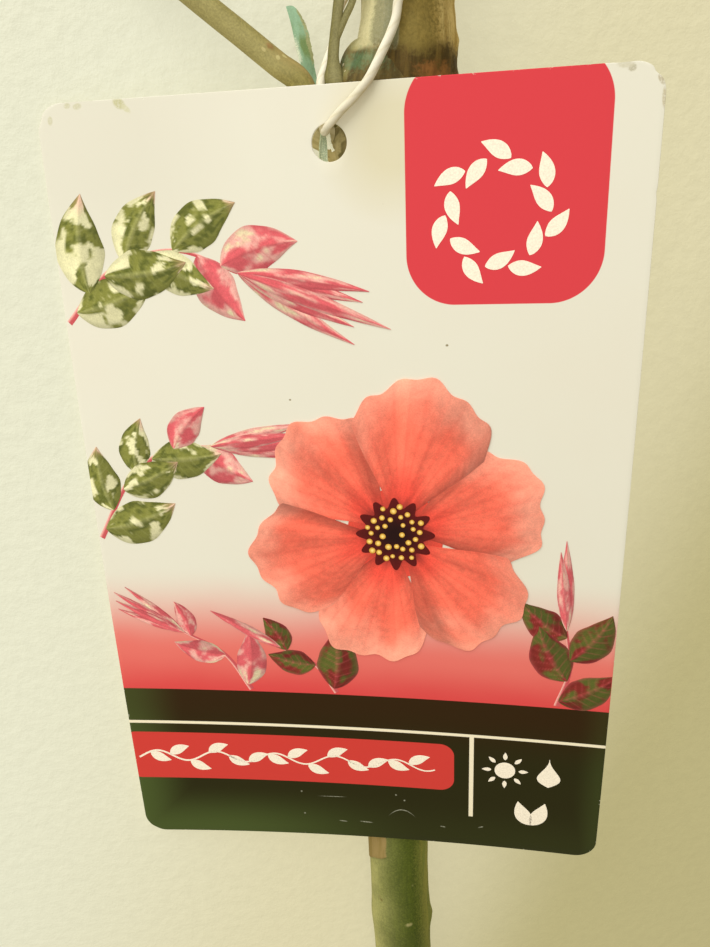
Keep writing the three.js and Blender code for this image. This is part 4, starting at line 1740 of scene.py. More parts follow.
@dataclass
class GraftingTape:
    """The tape wound round the neck, and its loose ragged tail.

    Attributes:
        from_y: y where the winding starts.
        to_y: y where it ends.
        inner_radius: Radius under the winding.
        pitch: Length along the stem that one turn takes.
        width: Width of the tail.
        tail_thickness: Thickness of the tail.
        route: The tail's middle line, with the lean of its width at each point in degrees.
        splinters: Pale torn strips beside it, seen through the label's hole.
    """

    from_y: float = 45
    to_y: float = 54
    inner_radius: float = 7.6
    pitch: float = 2.6
    width: float = 2.2
    tail_thickness: float = 0.26
    route: tuple[tuple[Place, float], ...] = (
        ((4.6, 54.6, 14.2), 30), ((2.2, 59.5, 14.2), 25), ((-0.35, 63.6, 13.5), 10),
        ((-0.5, 66.8, 13.1), -15), ((-0.15, 69, 12.75), -25), ((0, 70.8, 12.2), -40),
        ((0.5, 72.4, 11.3), -85), ((0.3, 75.4, 8.6), -80), ((-1.2, 78.5, 6.3), -45),
        ((-1.85, 82.3, 5), -15), ((-2.4, 85.6, 4.4), 0), ((-3.45, 89.5, 3.9), 10),
    )
    splinters: tuple[Route, ...] = (
        Route(((0.15, 70, 13), (0.4, 69, 13.15), (0.62, 67.7, 13.25), (1.15, 66.5, 13.3))),
        Route(((0.5, 68.4, 13.2), (0.5, 67.6, 13.3), (0.42, 66.8, 13.3))),
    )

    def build(self, bench: Workbench) -> None:
        """Builds the winding, and the tail with its splinters.

        Args:
            bench: The workbench.
        """
        bench.piece("tape_winding", self.winding(), TapeFinish(), "graft_tape", ["tape_wrap"])
        parts = [self.tail(), *(self.splinter(route) for route in self.splinters)]
        bench.piece("tape_tail_strip", join(parts), TapeFinish(), "graft_tape", ["tape_tail"])

    def winding(self) -> Surface:
        """Works out the winding, a sleeve whose outside climbs over each turn's edge.

        The outer radius is the inner one, plus a step that falls away from each turn's edge, as
        the share of the pitch passed at that angle, and fine creases along it.

        Returns:
            The sleeve.
        """
        line = TRUNK.at(np.linspace(TRUNK.share_at(self.from_y), TRUNK.share_at(self.to_y), 90))
        grid = LimbGrid(line, round_turn(160), np.full(len(line), self.inner_radius))
        passed = ((grid.y - self.from_y) / self.pitch + grid.turn / (2 * math.pi)) % 1.0
        step = smoothstep(0.0, 0.12, passed) * (1.0 - 0.75 * passed)
        end = smoothstep(self.from_y - 0.01, self.from_y + 0.25, grid.y)
        end = end * smoothstep(self.to_y + 0.01, self.to_y - 0.25, grid.y)
        crease = grid.noise(1.2, 0.8, 61) * 0.03 + grid.noise(6.0, 1.2, 62) * 0.03
        outer = self.inner_radius + (0.25 + 0.45 * step + crease) * (0.35 + 0.65 * end)
        inner = np.full_like(outer, self.inner_radius - 0.3)
        rings = np.concatenate([grid.rings(outer, outer), grid.rings(inner, inner)[::-1]])
        faces = grid_faces(len(rings), len(grid.turn), True, True).tolist()
        fold_and_shade = np.concatenate([1.0 - step, np.ones_like(step)]).reshape(-1)
        values = {"fold_and_shade": fold_and_shade, "torn": np.zeros_like(fold_and_shade), "bleached": np.zeros_like(fold_and_shade)}
        return Surface(rings.reshape(-1, 3), faces, values)

    def tail(self) -> Surface:
        """Works out the tail, a thin strip that is folded lengthways and torn along one edge.

        Each cross line runs from one edge over the middle to the other. The torn edge is moved in
        by broken noise, the tip is cut slantwise, and the strip sags into a gutter. It is narrower
        in its lower half.

        Returns:
            The closed strip.
        """
        places = Route(tuple(place for place, _ in self.route))
        rows, columns = 260, 17
        share = np.linspace(0.0, 1.0, rows)
        line = places.at(share)
        side, over = cross_frame(line)
        reach = share * (len(self.route) - 1)
        leans = [lean for _, lean in self.route]
        lean = np.radians(np.interp(reach, np.arange(len(leans)), leans))[:, None]
        across = side * np.cos(lean) + over * np.sin(lean)
        upward = over * np.cos(lean) - side * np.sin(lean)
        t = np.linspace(-1.0, 1.0, columns)[None, :]
        along = (share * places.length())[:, None]
        seen = smoothstep(0.5, 0.62, share)[:, None]
        tear = np.abs(cloud(np.zeros((rows, 1)), along, 3, 0.9, 63, 4)) * 0.32 * seen
        wide = 0.65 + 0.6 * smoothstep(0.42, 0.58, share) - 0.3 * smoothstep(0.82, 1.0, share)
        spread = np.where(t > 0, t * (1.0 - tear), t) * wide[:, None] * self.width / 2
        gutter = 0.05 * cloud((t + 1) / 2, along, 5, 2.0, 64) - 0.12 * (1 - t**2)
        drop = smoothstep(0.9, 1.0, share)[:, None] * 2.0 * ((t + 1) / 2) ** 3.2
        tangent = normalised(np.gradient(line, axis=0))
        middle = line[:, None] + across[:, None] * spread[..., None] + upward[:, None] * gutter[..., None]
        middle = middle - tangent[:, None] * drop[..., None]
        half = upward[:, None] * self.tail_thickness / 2
        grid = np.concatenate([middle + half, (middle - half)[:, ::-1]], axis=1)
        y = line[:, 1][:, None]
        doubled = 0.9 * bell((y - 83.0) / 1.7) * smoothstep(-0.6, 0.0, t)
        fold_and_shade = 0.5 * np.abs(cloud((t + 1) / 2, along, 4, 3.0, 65)) + doubled
        # Painted shade: the tail is darker round y 71, at the top of the label's hole.
        fold_and_shade = unit(fold_and_shade + 0.8 * bell((y - 71.0) / 1.6))
        torn = smoothstep(0.0, 0.8, t) * seen * (0.85 + 0.6 * cloud((t + 1) / 2, along, 4, 1.5, 66))
        torn = torn * (0.4 + 0.6 * smoothstep(79.5, 82.0, y))
        film = 0.62 * smoothstep(-0.3, -0.9, t) * smoothstep(79.6, 81.4, y) * smoothstep(86.0, 83.6, y)
        # Painted light: the tail is paler below y 70, where it shows through the label's hole.
        film = film + 0.5 * smoothstep(70.0, 68.6, y)
        masks = {"fold_and_shade": fold_and_shade, "torn": torn, "bleached": film}
        both = {name: np.concatenate([mask, mask[:, ::-1]], axis=1)[:, ::-1] for name, mask in masks.items()}
        return rod(grid[:, ::-1], both)

    def splinter(self, route: Route) -> Surface:
        """Works out a splinter of bleached tape: flat oval rings that taper to its end.

        Args:
            route: Its middle line.

        Returns:
            The closed splinter.
        """
        share = np.linspace(0.0, 1.0, 60)
        line = route.at(share)
        side, over = cross_frame(line)
        turn = round_turn(14)
        ragged = lattice_noise(np.zeros(60), share * route.length(), 3, 0.3, 67)
        half = 0.42 * (1.0 - 0.4 * share) + 0.05 * ragged
        grid = line[:, None] + side[:, None] * (np.sin(turn) * half[:, None])[..., None]
        grid = grid + over[:, None] * (0.06 * np.cos(turn))[None, :, None]
        zero = np.zeros(grid.shape[:2])
        return rod(grid, {"fold_and_shade": zero, "torn": zero, "bleached": zero + 1.0})


# Tie


@dataclass
class LabelTie:
    """The white cord loop through the label's hole and round the leader, and its knot.

    Attributes:
        route: The loop's middle line.
        diameter: The cord's diameter.
        twist: Length of one full turn of the strands.
        groove: Depth of the grooves between the strands, as a share of the radius.
        knot_radius: Radius of the knot's turns, from the knot's axis.
        knot_turns: Number of turns.
    """

    route: Route = Route((
        (18.2, 96.2, 18.5), (16.6, 95.3, 18.8), (14.85, 93, 18.7), (12.75, 90.2, 18.6), (11.45, 86.5, 18.4),
        (11, 84.2, 18.5), (9.9, 81.8, 18.8), (8.8, 79.9, 19), (7.8, 78.2, 19.1), (6.6, 76.3, 19.1),
        (5.2, 74.7, 18.85), (3.65, 73.2, 18.4), (2.2, 72, 18), (1.1, 70.9, 17.6), (0.05, 69.8, 16.9),
        (-0.3, 69.25, 15.8), (-0.4, 69.6, 14.6), (-0.45, 71.6, 14.2), (-0.4, 74.2, 13.7), (-0.3, 76.6, 12.6),
        (0.45, 78.4, 10.7), (1.15, 79.9, 9.3), (2.7, 83.4, 7.2), (3.5, 86.9, 5), (5.8, 91, 2.8),
        (10.2, 94.5, 1.35), (15.4, 96.4, 1.1), (20.2, 97.4, 2.5), (23.6, 97.9, 6.2), (24.4, 98.1, 10.8),
        (23.7, 98.1, 14.4), (22.8, 97.9, 16.6), (21.6, 97.5, 17.6),
    ))
    diameter: float = 1.3
    twist: float = 7.5
    groove: float = 0.035
    knot_radius: float = 0.82
    knot_turns: float = 2.4

    def strand(self, line: Array, length: float, radius: float | Array, columns: int = 26) -> Surface:
        """Carries the twisted section along a line.

        The radius falls between the two strands: one less the groove's share of one minus the
        size of the cosine of the angle less the twist. The shade is how far the skin faces to the
        right and down where the cord lies on the card, and more of it there all round.

        Args:
            line: Middle line.
            length: Its length.
            radius: The cord's radius.
            columns: Points round it.

        Returns:
            The closed cord.
        """
        flattest = np.linalg.svd(line - line.mean(axis=0), full_matrices=False)[2][-1]
        side, over = cross_frame(line, flattest)
        turn = round_turn(columns)
        along = np.linspace(0.0, length, len(line))[:, None]
        deep = 1.0 - np.abs(np.cos(turn[None, :] - along * 2 * math.pi / self.twist))
        reach = radius * (1.0 - self.groove * deep**2)
        skin = side[:, None] * np.sin(turn)[:, None] + over[:, None] * np.cos(turn)[:, None]
        facing = smoothstep(-0.1, 0.95, skin @ np.array([0.8, -0.5, -0.33]))
        y = line[:, 1]
        front = smoothstep(13.0, 15.5, line[:, 2])
        shade = facing * (0.55 * front * smoothstep(80.0, 74.0, y))[:, None]
        shade = unit(shade + (0.22 * front * smoothstep(78.0, 74.0, y))[:, None])
        return rod(line[:, None] + skin * reach[..., None], {"groove": 0.8 * deep**3, "shade": shade})

    def build(self, bench: Workbench) -> None:
        """Builds the loop, then the knot: a coil of turns with two short cut ends.

        Args:
            bench: The workbench.
        """
        line = self.route.at(np.linspace(0.0, 1.0, 560))
        radius = self.diameter / 2
        swollen = radius * (1.0 + 0.09 * smoothstep(72.0, 78.0, line[:, 1]))[:, None]
        loop = self.strand(line, self.route.length(), swollen)
        bench.piece("tie_loop", loop, CordFinish(), "tie_cord", ["tie"])
        first, last = np.array(self.route.points[0]), np.array(self.route.points[-1])
        axis = normalised(last - first)
        side = normalised(np.cross(axis, UP))
        over = np.cross(side, axis)
        angle = np.linspace(0.0, self.knot_turns * 2 * math.pi, 150)
        walk = np.linspace(-0.9, 0.9, 150)[:, None]
        coil = (first + last) / 2 + axis * walk * np.linalg.norm(last - first) / 2 * 0.8
        coil = coil + self.knot_radius * (side * np.sin(angle)[:, None] + over * np.cos(angle)[:, None])
        knot = [self.strand(coil, self.knot_turns * 5.0, radius * 0.92)]
        knot.append(self.strand(np.linspace(first, last, 30), 3.4, radius * 0.9))
        bend = np.linspace(0.0, 1.0, 40)[:, None]
        for start, reach in ((coil[0], (-0.6, 2.4, 1.6)), (coil[-1], (1.8, 2.6, 1.0))):
            stub = start + np.array(reach) * bend + over * np.sin(bend * math.pi) * 0.5
            knot.append(self.strand(stub, 3.2, radius * 0.9))
        bench.piece("tie_knot_turns", join(knot), CordFinish(), "tie_cord", ["tie_knot"])


# Label


class Tint(Enum):
    """Colourings of a printed leaf."""

    MOTTLED = "green and cream"
    ROSY = "rosy shoot"
    DARK = "dark green and red"
    PLAIN = "flat cream"


@dataclass(frozen=True)
class Inks:
    """Inks of the printed figures."""

    green: Colour = (136, 136, 62)
    deep_green: Colour = (94, 98, 40)
    cream: Colour = (236, 228, 174)
    rose: Colour = (222, 98, 100)
    pale_rose: Colour = (240, 176, 158)
    stalk: Colour = (196, 84, 84)
    dark_red: Colour = (128, 44, 36)
    coral: Colour = (238, 108, 82)
    pale_coral: Colour = (249, 172, 142)
    deep_coral: Colour = (222, 76, 58)
    vein: Colour = (214, 70, 56)
    throat: Colour = (92, 22, 18)
    throat_middle: Colour = (36, 14, 10)
    anther: Colour = (252, 224, 130)
    anther_rim: Colour = (206, 150, 52)
    line_cream: Colour = (246, 232, 204)


INKS = Inks()
GOLDEN_ANGLE = 2.39996
EMBLEM_LEVEL = 1


@dataclass
class Figure:
    """A printed figure: a grid of card places with an ink for each.

    Attributes:
        place: Card millimetres, to the right and up, by row and column.
        ink: Screen colours at those points.
        level: How high the figure lies over others.
    """

    place: Array
    ink: Array
    level: int


def strip_figure(line: Array, halves: tuple[float, float], ink: Colour, pale: Colour, level: int) -> Figure:
    """A printed strip along a line, paler on one side.

    Args:
        line: Card places.
        halves: Half its width at its start and at its end.
        ink: Its ink.
        pale: The ink of its paler side.
        level: How high it lies.

    Returns:
        The figure.
    """
    along = np.gradient(line, axis=0)
    normal = normalised(np.stack([-along[:, 1], along[:, 0]], axis=1))
    t = np.linspace(-1.0, 1.0, 7)
    off = t[None, :] * np.linspace(*halves, len(line))[:, None]
    place = line[:, None] + normal[:, None] * off[..., None]
    return Figure(place, blend(ink, pale, np.broadcast_to(smoothstep(0.0, 0.8, t), off.shape)), level)


def disc(middle: Array, radius: float, centre: Colour, rim: Colour, level: int, star: int = 0) -> Figure:
    """A printed disc, or a star with rounded points.

    It is a square grid, each side squeezed by the root of one less half the other's square.

    Args:
        middle: Its middle, in card millimetres.
        radius: Its radius.
        centre: Its ink in the middle.
        rim: Its ink at the rim.
        level: How high it lies.
        star: Number of points, none for a disc.

    Returns:
        The figure.
    """
    side = np.linspace(-1.0, 1.0, 9 if radius < 2.0 else 40)
    a, b = np.meshgrid(side, side, indexing="ij")
    x, y = b * np.sqrt(1 - a**2 / 2), a * np.sqrt(1 - b**2 / 2)
    out = np.sqrt(x**2 + y**2)
    points = 0.16 * np.cos(star * np.arctan2(y, x)) if star else 0.0
    reach = radius * (1.0 + points * out)
    place = np.asarray(middle) + np.stack([x * reach, y * reach], axis=-1)
    return Figure(place, blend(centre, rim, smoothstep(0.1, 1.0, out)), level)


@dataclass
class LeafShape:
    """A printed leaf.

    Attributes:
        root: Where it leaves its stalk, in card millimetres.
        heading_deg: Direction that it sets out in, counted from the right.
        length: Its length.
        width: Its greatest half width.
        bend_deg: How far it has turned at its tip.
        tint: Its colouring.
        seed: Seed of its mottling.
        level: How high it lies.
        swell: How far from the root it is widest. Small values bring that nearer.
    """

    root: CardPlace
    heading_deg: float
    length: float
    width: float
    bend_deg: float
    tint: Tint
    seed: int
    level: int
    swell: float = 0.8

    def figure(self, rows: int = 52, columns: int = 18) -> Figure:
        """Works out the leaf.

        The midrib turns evenly from the root to the tip. The half width is the sine of the share
        of the length, with its peak moved towards the root, and its edge waves a little.

        Args:
            rows: Points along it.
            columns: Points across it.

        Returns:
            The figure.
        """
        s = np.linspace(0.0, 1.0, rows)
        t = np.linspace(-1.0, 1.0, columns)
        heading = np.radians(self.heading_deg + self.bend_deg * s)
        step = np.stack([np.cos(heading), np.sin(heading)], axis=1) * self.length / (rows - 1)
        rib = np.array(self.root) + np.vstack([[0.0, 0.0], np.cumsum(step[:-1], axis=0)])
        normal = np.stack([-np.sin(heading), np.cos(heading)], axis=1)
        wave = 0.0 if self.tint is Tint.PLAIN else 0.025 * np.sin(s * 19.0 + self.seed)
        half = 0.05 + self.width * np.sin(np.pi * s**self.swell) * (1.0 + wave)
        place = rib[:, None] + normal[:, None] * (t[None, :] * half[:, None])[..., None]
        return Figure(place, self.colour(s[:, None], t[None, :]), self.level)

    def colour(self, s: Array, t: Array) -> Array:
        """Inks the leaf by its tint.

        Side veins are thin ridges of a cosine over the length less a share of the distance from
        the midrib. Mottling is noise past a limit, and one half of the leaf is a little darker.

        Args:
            s: Share of the length, as a column.
            t: Share of the half width, as a row.

        Returns:
            Screen colours, channels last.
        """
        s, t = np.broadcast_arrays(s, t)
        if self.tint is Tint.PLAIN:
            return np.broadcast_to(np.array(INKS.line_cream, float), (*s.shape, 3))
        place = (t + 1) / 2 * 0.9, s * self.length
        blotch = cloud(*place, 4, self.length / 5, self.seed, 4)
        fine = cloud(*place, 12, 1.2, self.seed + 5, 2)
        vein = np.cos((s * self.length / 1.5 - np.abs(t) * 1.6) * 2 * np.pi)
        vein = smoothstep(0.72, 1.0, vein) * (1 - np.abs(t) ** 3)
        rib = bell(t / 0.07)
        if self.tint is Tint.MOTTLED:
            ink = blend(INKS.green, INKS.deep_green, smoothstep(-0.2, 0.35, fine + blotch * 0.4))
            ink = blend(ink, INKS.cream, smoothstep(0.02, 0.16, blotch + 0.2 * np.abs(t) - 0.1))
            ink = blend(ink, INKS.cream, 0.45 * rib + 0.12 * vein)
            ink = blend(ink, INKS.pale_rose, 0.6 * smoothstep(0.8, 1.0, s + 0.1 * blotch))
        elif self.tint is Tint.ROSY:
            ink = blend(INKS.rose, INKS.pale_rose, smoothstep(-0.1, 0.35, blotch + 0.25 * np.abs(t)))
            ink = blend(ink, INKS.cream, 0.8 * smoothstep(0.2, 0.4, blotch - 0.2 * s) * (1 - rib))
            ink = blend(ink, INKS.stalk, 0.5 * rib + 0.25 * vein)
        else:
            ink = blend(INKS.deep_green, INKS.dark_red, smoothstep(-0.15, 0.3, blotch))
            ink = blend(ink, INKS.rose, 0.5 * rib + 0.35 * vein)
            ink = blend(ink, INKS.rose, 0.5 * smoothstep(0.8, 1.0, np.abs(t)))
        half = 1.0 - 0.13 * smoothstep(0.05, -0.05, t) - 0.1 * smoothstep(0.6, 1.0, np.abs(t))
        light = half * (1.0 + 0.06 * fine)
        return np.clip(ink * light[..., None], 0.0, 255.0)


def cream_leaf(
    root: CardPlace, heading_deg: float, length: float, width: float, bend_deg: float = 0.0,
    grid: tuple[int, int] = (24, 8), swell: float = 0.8,
) -> Figure:
    """Works out a plain cream leaf of an emblem.

    Args:
        root: Where it starts.
        heading_deg: Direction that it sets out in.
        length: Its length.
        width: Its half width.
        bend_deg: How far it has turned at its tip.
        grid: Points along it and across it.
        swell: How far from the root it is widest.

    Returns:
        The figure.
    """
    return LeafShape(
        root, heading_deg, length, width, bend_deg, Tint.PLAIN, 0, EMBLEM_LEVEL, swell=swell
    ).figure(*grid)


@dataclass
class Spray:
    """A printed spray: a stalk with alternate leaves and a fan of rosy shoots at its end.

    Attributes:
        stops: Card places that the stalk passes through.
        leaves: Number of leaves.
        leaf_length: Length of the lowest leaf.
        leaf_width: Half width of the lowest leaf.
        fan: Number of shoots at the end.
        seed: Seed of the spray.
        level: How high its stalk lies.
        tint: Colouring of the leaves.
    """

    stops: tuple[CardPlace, ...]
    leaves: int
    leaf_length: float
    leaf_width: float
    fan: int
    seed: int
    level: int
    tint: Tint = Tint.MOTTLED

    def figures(self) -> list[Figure]:
        """Works out the spray.

        Leaves stand alternately along the stalk, turned out by 38 to 60 degrees, and shorter and
        rosier towards its end. The shoots fan out from the end, 8 degrees apart. Seeded draws
        vary the turns and lengths.

        Returns:
            The stalk, the leaves and the shoots.
        """
        rng = np.random.default_rng(self.seed)
        route = Route(tuple((x, y, 0.0) for x, y in self.stops))
        share = np.linspace(0.0, 1.0, 60)
        line = route.at(share)[:, :2]
        along = np.gradient(line, axis=0)
        heading = np.degrees(np.arctan2(along[:, 1], along[:, 0]))
        figures = [strip_figure(line, (0.55, 0.25), INKS.stalk, INKS.pale_rose, self.level)]
        for k in range(self.leaves):
            at = 0.08 + 0.84 * k / max(1, self.leaves - 1)
            row = int(at * (len(line) - 1))
            out = (38.0 + 22.0 * rng.random()) * (1 if k % 2 else -1)
            size = (1.0 - 0.3 * at) * (0.85 + 0.3 * rng.random())
            rosy = at > 0.75 and self.tint is Tint.MOTTLED
            leaf = LeafShape(
                tuple(line[row]), heading[row] + out, self.leaf_length * size, self.leaf_width * size,
                -out * 0.55, Tint.ROSY if rosy else self.tint, self.seed * 31 + k, self.level + 1 + k % 3,
            )
            figures.append(leaf.figure())
        for k in range(self.fan):
            off = (k - (self.fan - 1) / 2) * 8.0 + rng.normal(0.0, 2.0)
            longest = self.leaf_length * (1.4 - 0.06 * abs(k - (self.fan - 1) / 2))
            size = longest * (0.85 + 0.3 * rng.random())
            shoot = LeafShape(
                tuple(line[-1]), heading[-1] + off, size, self.leaf_width * 0.3, -off * 0.5,
                Tint.ROSY, self.seed * 57 + k, self.level + 4 + k % 3,
            )
            figures.append(shoot.figure(columns=12))
        return figures


@dataclass
class Bloom:
    """A large printed blossom with broad overlapping petals, a dark throat and yellow anthers.

    Attributes:
        middle: Its middle, in card millimetres.
        radius: Its radius.
        petals: Number of petals.
        turn_deg: Direction of the first petal.
        anthers: Number of anthers.
        level: How high its first petal lies.
    """

    middle: CardPlace = (9, 0)
    radius: float = 29
    petals: int = 6
    turn_deg: float = 18
    anthers: int = 34
    level: int = 12

    def petal(self, k: int) -> Figure:
        """Works out one petal.

        The distance out is the share along it times the radius, cut back towards both sides and
        frilled by waves. The angle is the share across times a half width that opens quickly and
        closes a little at the end.

        Args:
            k: The petal's number.

        Returns:
            The figure.
        """
        s = np.linspace(0.03, 1.0, 84)[:, None]
        t = np.linspace(-1.0, 1.0, 64)[None, :]
        rng = np.random.default_rng(700 + k)
        frill = 0.025 * np.sin(t * 7.0 + k) + 0.015 * np.sin(t * 17.0 + 2.0 * k)
        reach = self.radius * (0.93 + 0.1 * rng.random()) * (1.0 - 0.26 * np.abs(t) ** 2.6 + frill * s**3)
        out = reach * s
        opened = np.sin(np.minimum(1.0, s * 1.15) * np.pi / 2) ** 0.7
        half = math.radians(200.0 / self.petals) * (0.35 + 0.65 * opened)
        angle = math.radians(self.turn_deg + k * 360.0 / self.petals + rng.normal(0.0, 3.0)) + t * half
        place = np.array(self.middle) + np.stack([out * np.cos(angle), out * np.sin(angle)], axis=-1)
        return Figure(place, self.petal_ink(k, s, t), self.level + k % 2 * 3 + k // 2)

    def petal_ink(self, k: int, s: Array, t: Array) -> Array:
        """Inks a petal: from dark throat to pale rim, with veins, folds and a shaded side.

        Veins are thin ridges of a cosine across the petal, bent by noise. Folds are broad noise
        drawn out along it.

        Args:
            k: The petal's number.
            s: Share along it.
            t: Share across it.

        Returns:
            Screen colours.
        """
        s, t = np.broadcast_arrays(s, t)
        place = (t + 1) / 2 * 0.9, s * self.radius
        noise = cloud(*place, 5, 7.0, 710 + k, 4)
        fine = cloud(*place, 28, 1.0, 730 + k, 3)
        fold_and_shade = cloud(*place, 7, 16.0, 750 + k, 2)
        ink = blend(INKS.throat, INKS.dark_red, smoothstep(0.05, 0.2, s))
        ink = blend(ink, INKS.deep_coral, smoothstep(0.14, 0.3, s + 0.05 * noise))
        ink = blend(ink, INKS.coral, smoothstep(0.26, 0.5, s + 0.08 * noise))
        ink = blend(ink, INKS.pale_coral, 0.75 * smoothstep(0.62, 1.05, s + 0.2 * noise))
        vein = 0.4 * smoothstep(0.6, 1.0, np.cos((t * 5.2 + 0.18 * noise * s) * 2 * np.pi))
        ink = blend(ink, INKS.vein, vein * smoothstep(0.1, 0.4, s) * (1.1 - s))
        light = 1.0 + 0.16 * fold_and_shade + 0.07 * fine - 0.1 * np.abs(t) ** 4 - 0.12 * smoothstep(0.55, 1.0, -t)
        light = light + 0.06 * bell((t - 0.3) / 0.25)
        return np.clip(ink * light[..., None], 0.0, 255.0)

    def figures(self) -> list[Figure]:
        """Works out the blossom.

        Anthers stand at even steps of the golden angle, and the distance out grows by the root of
        their number.

        Returns:
            The petals, the ground under them, the throat and the anthers.
        """
        middle = np.array(self.middle)
        figures = [self.petal(k) for k in range(self.petals)]
        top = self.level + 8
        figures.append(disc(middle, 9.0, INKS.dark_red, INKS.deep_coral, self.level - 1))
        figures.append(disc(middle, 6.4, INKS.throat_middle, INKS.throat, top, self.petals * 2))
        rng = np.random.default_rng(77)
        for k in range(self.anthers):
            turn = k * GOLDEN_ANGLE
            reach = 1.2 + 0.78 * math.sqrt(k) + rng.normal(0.0, 0.2)
            at = middle + reach * np.array([math.cos(turn), math.sin(turn)])
            figures.append(disc(at, 0.42 + 0.2 * rng.random(), INKS.anther, INKS.anther_rim, top + 1))
        return figures


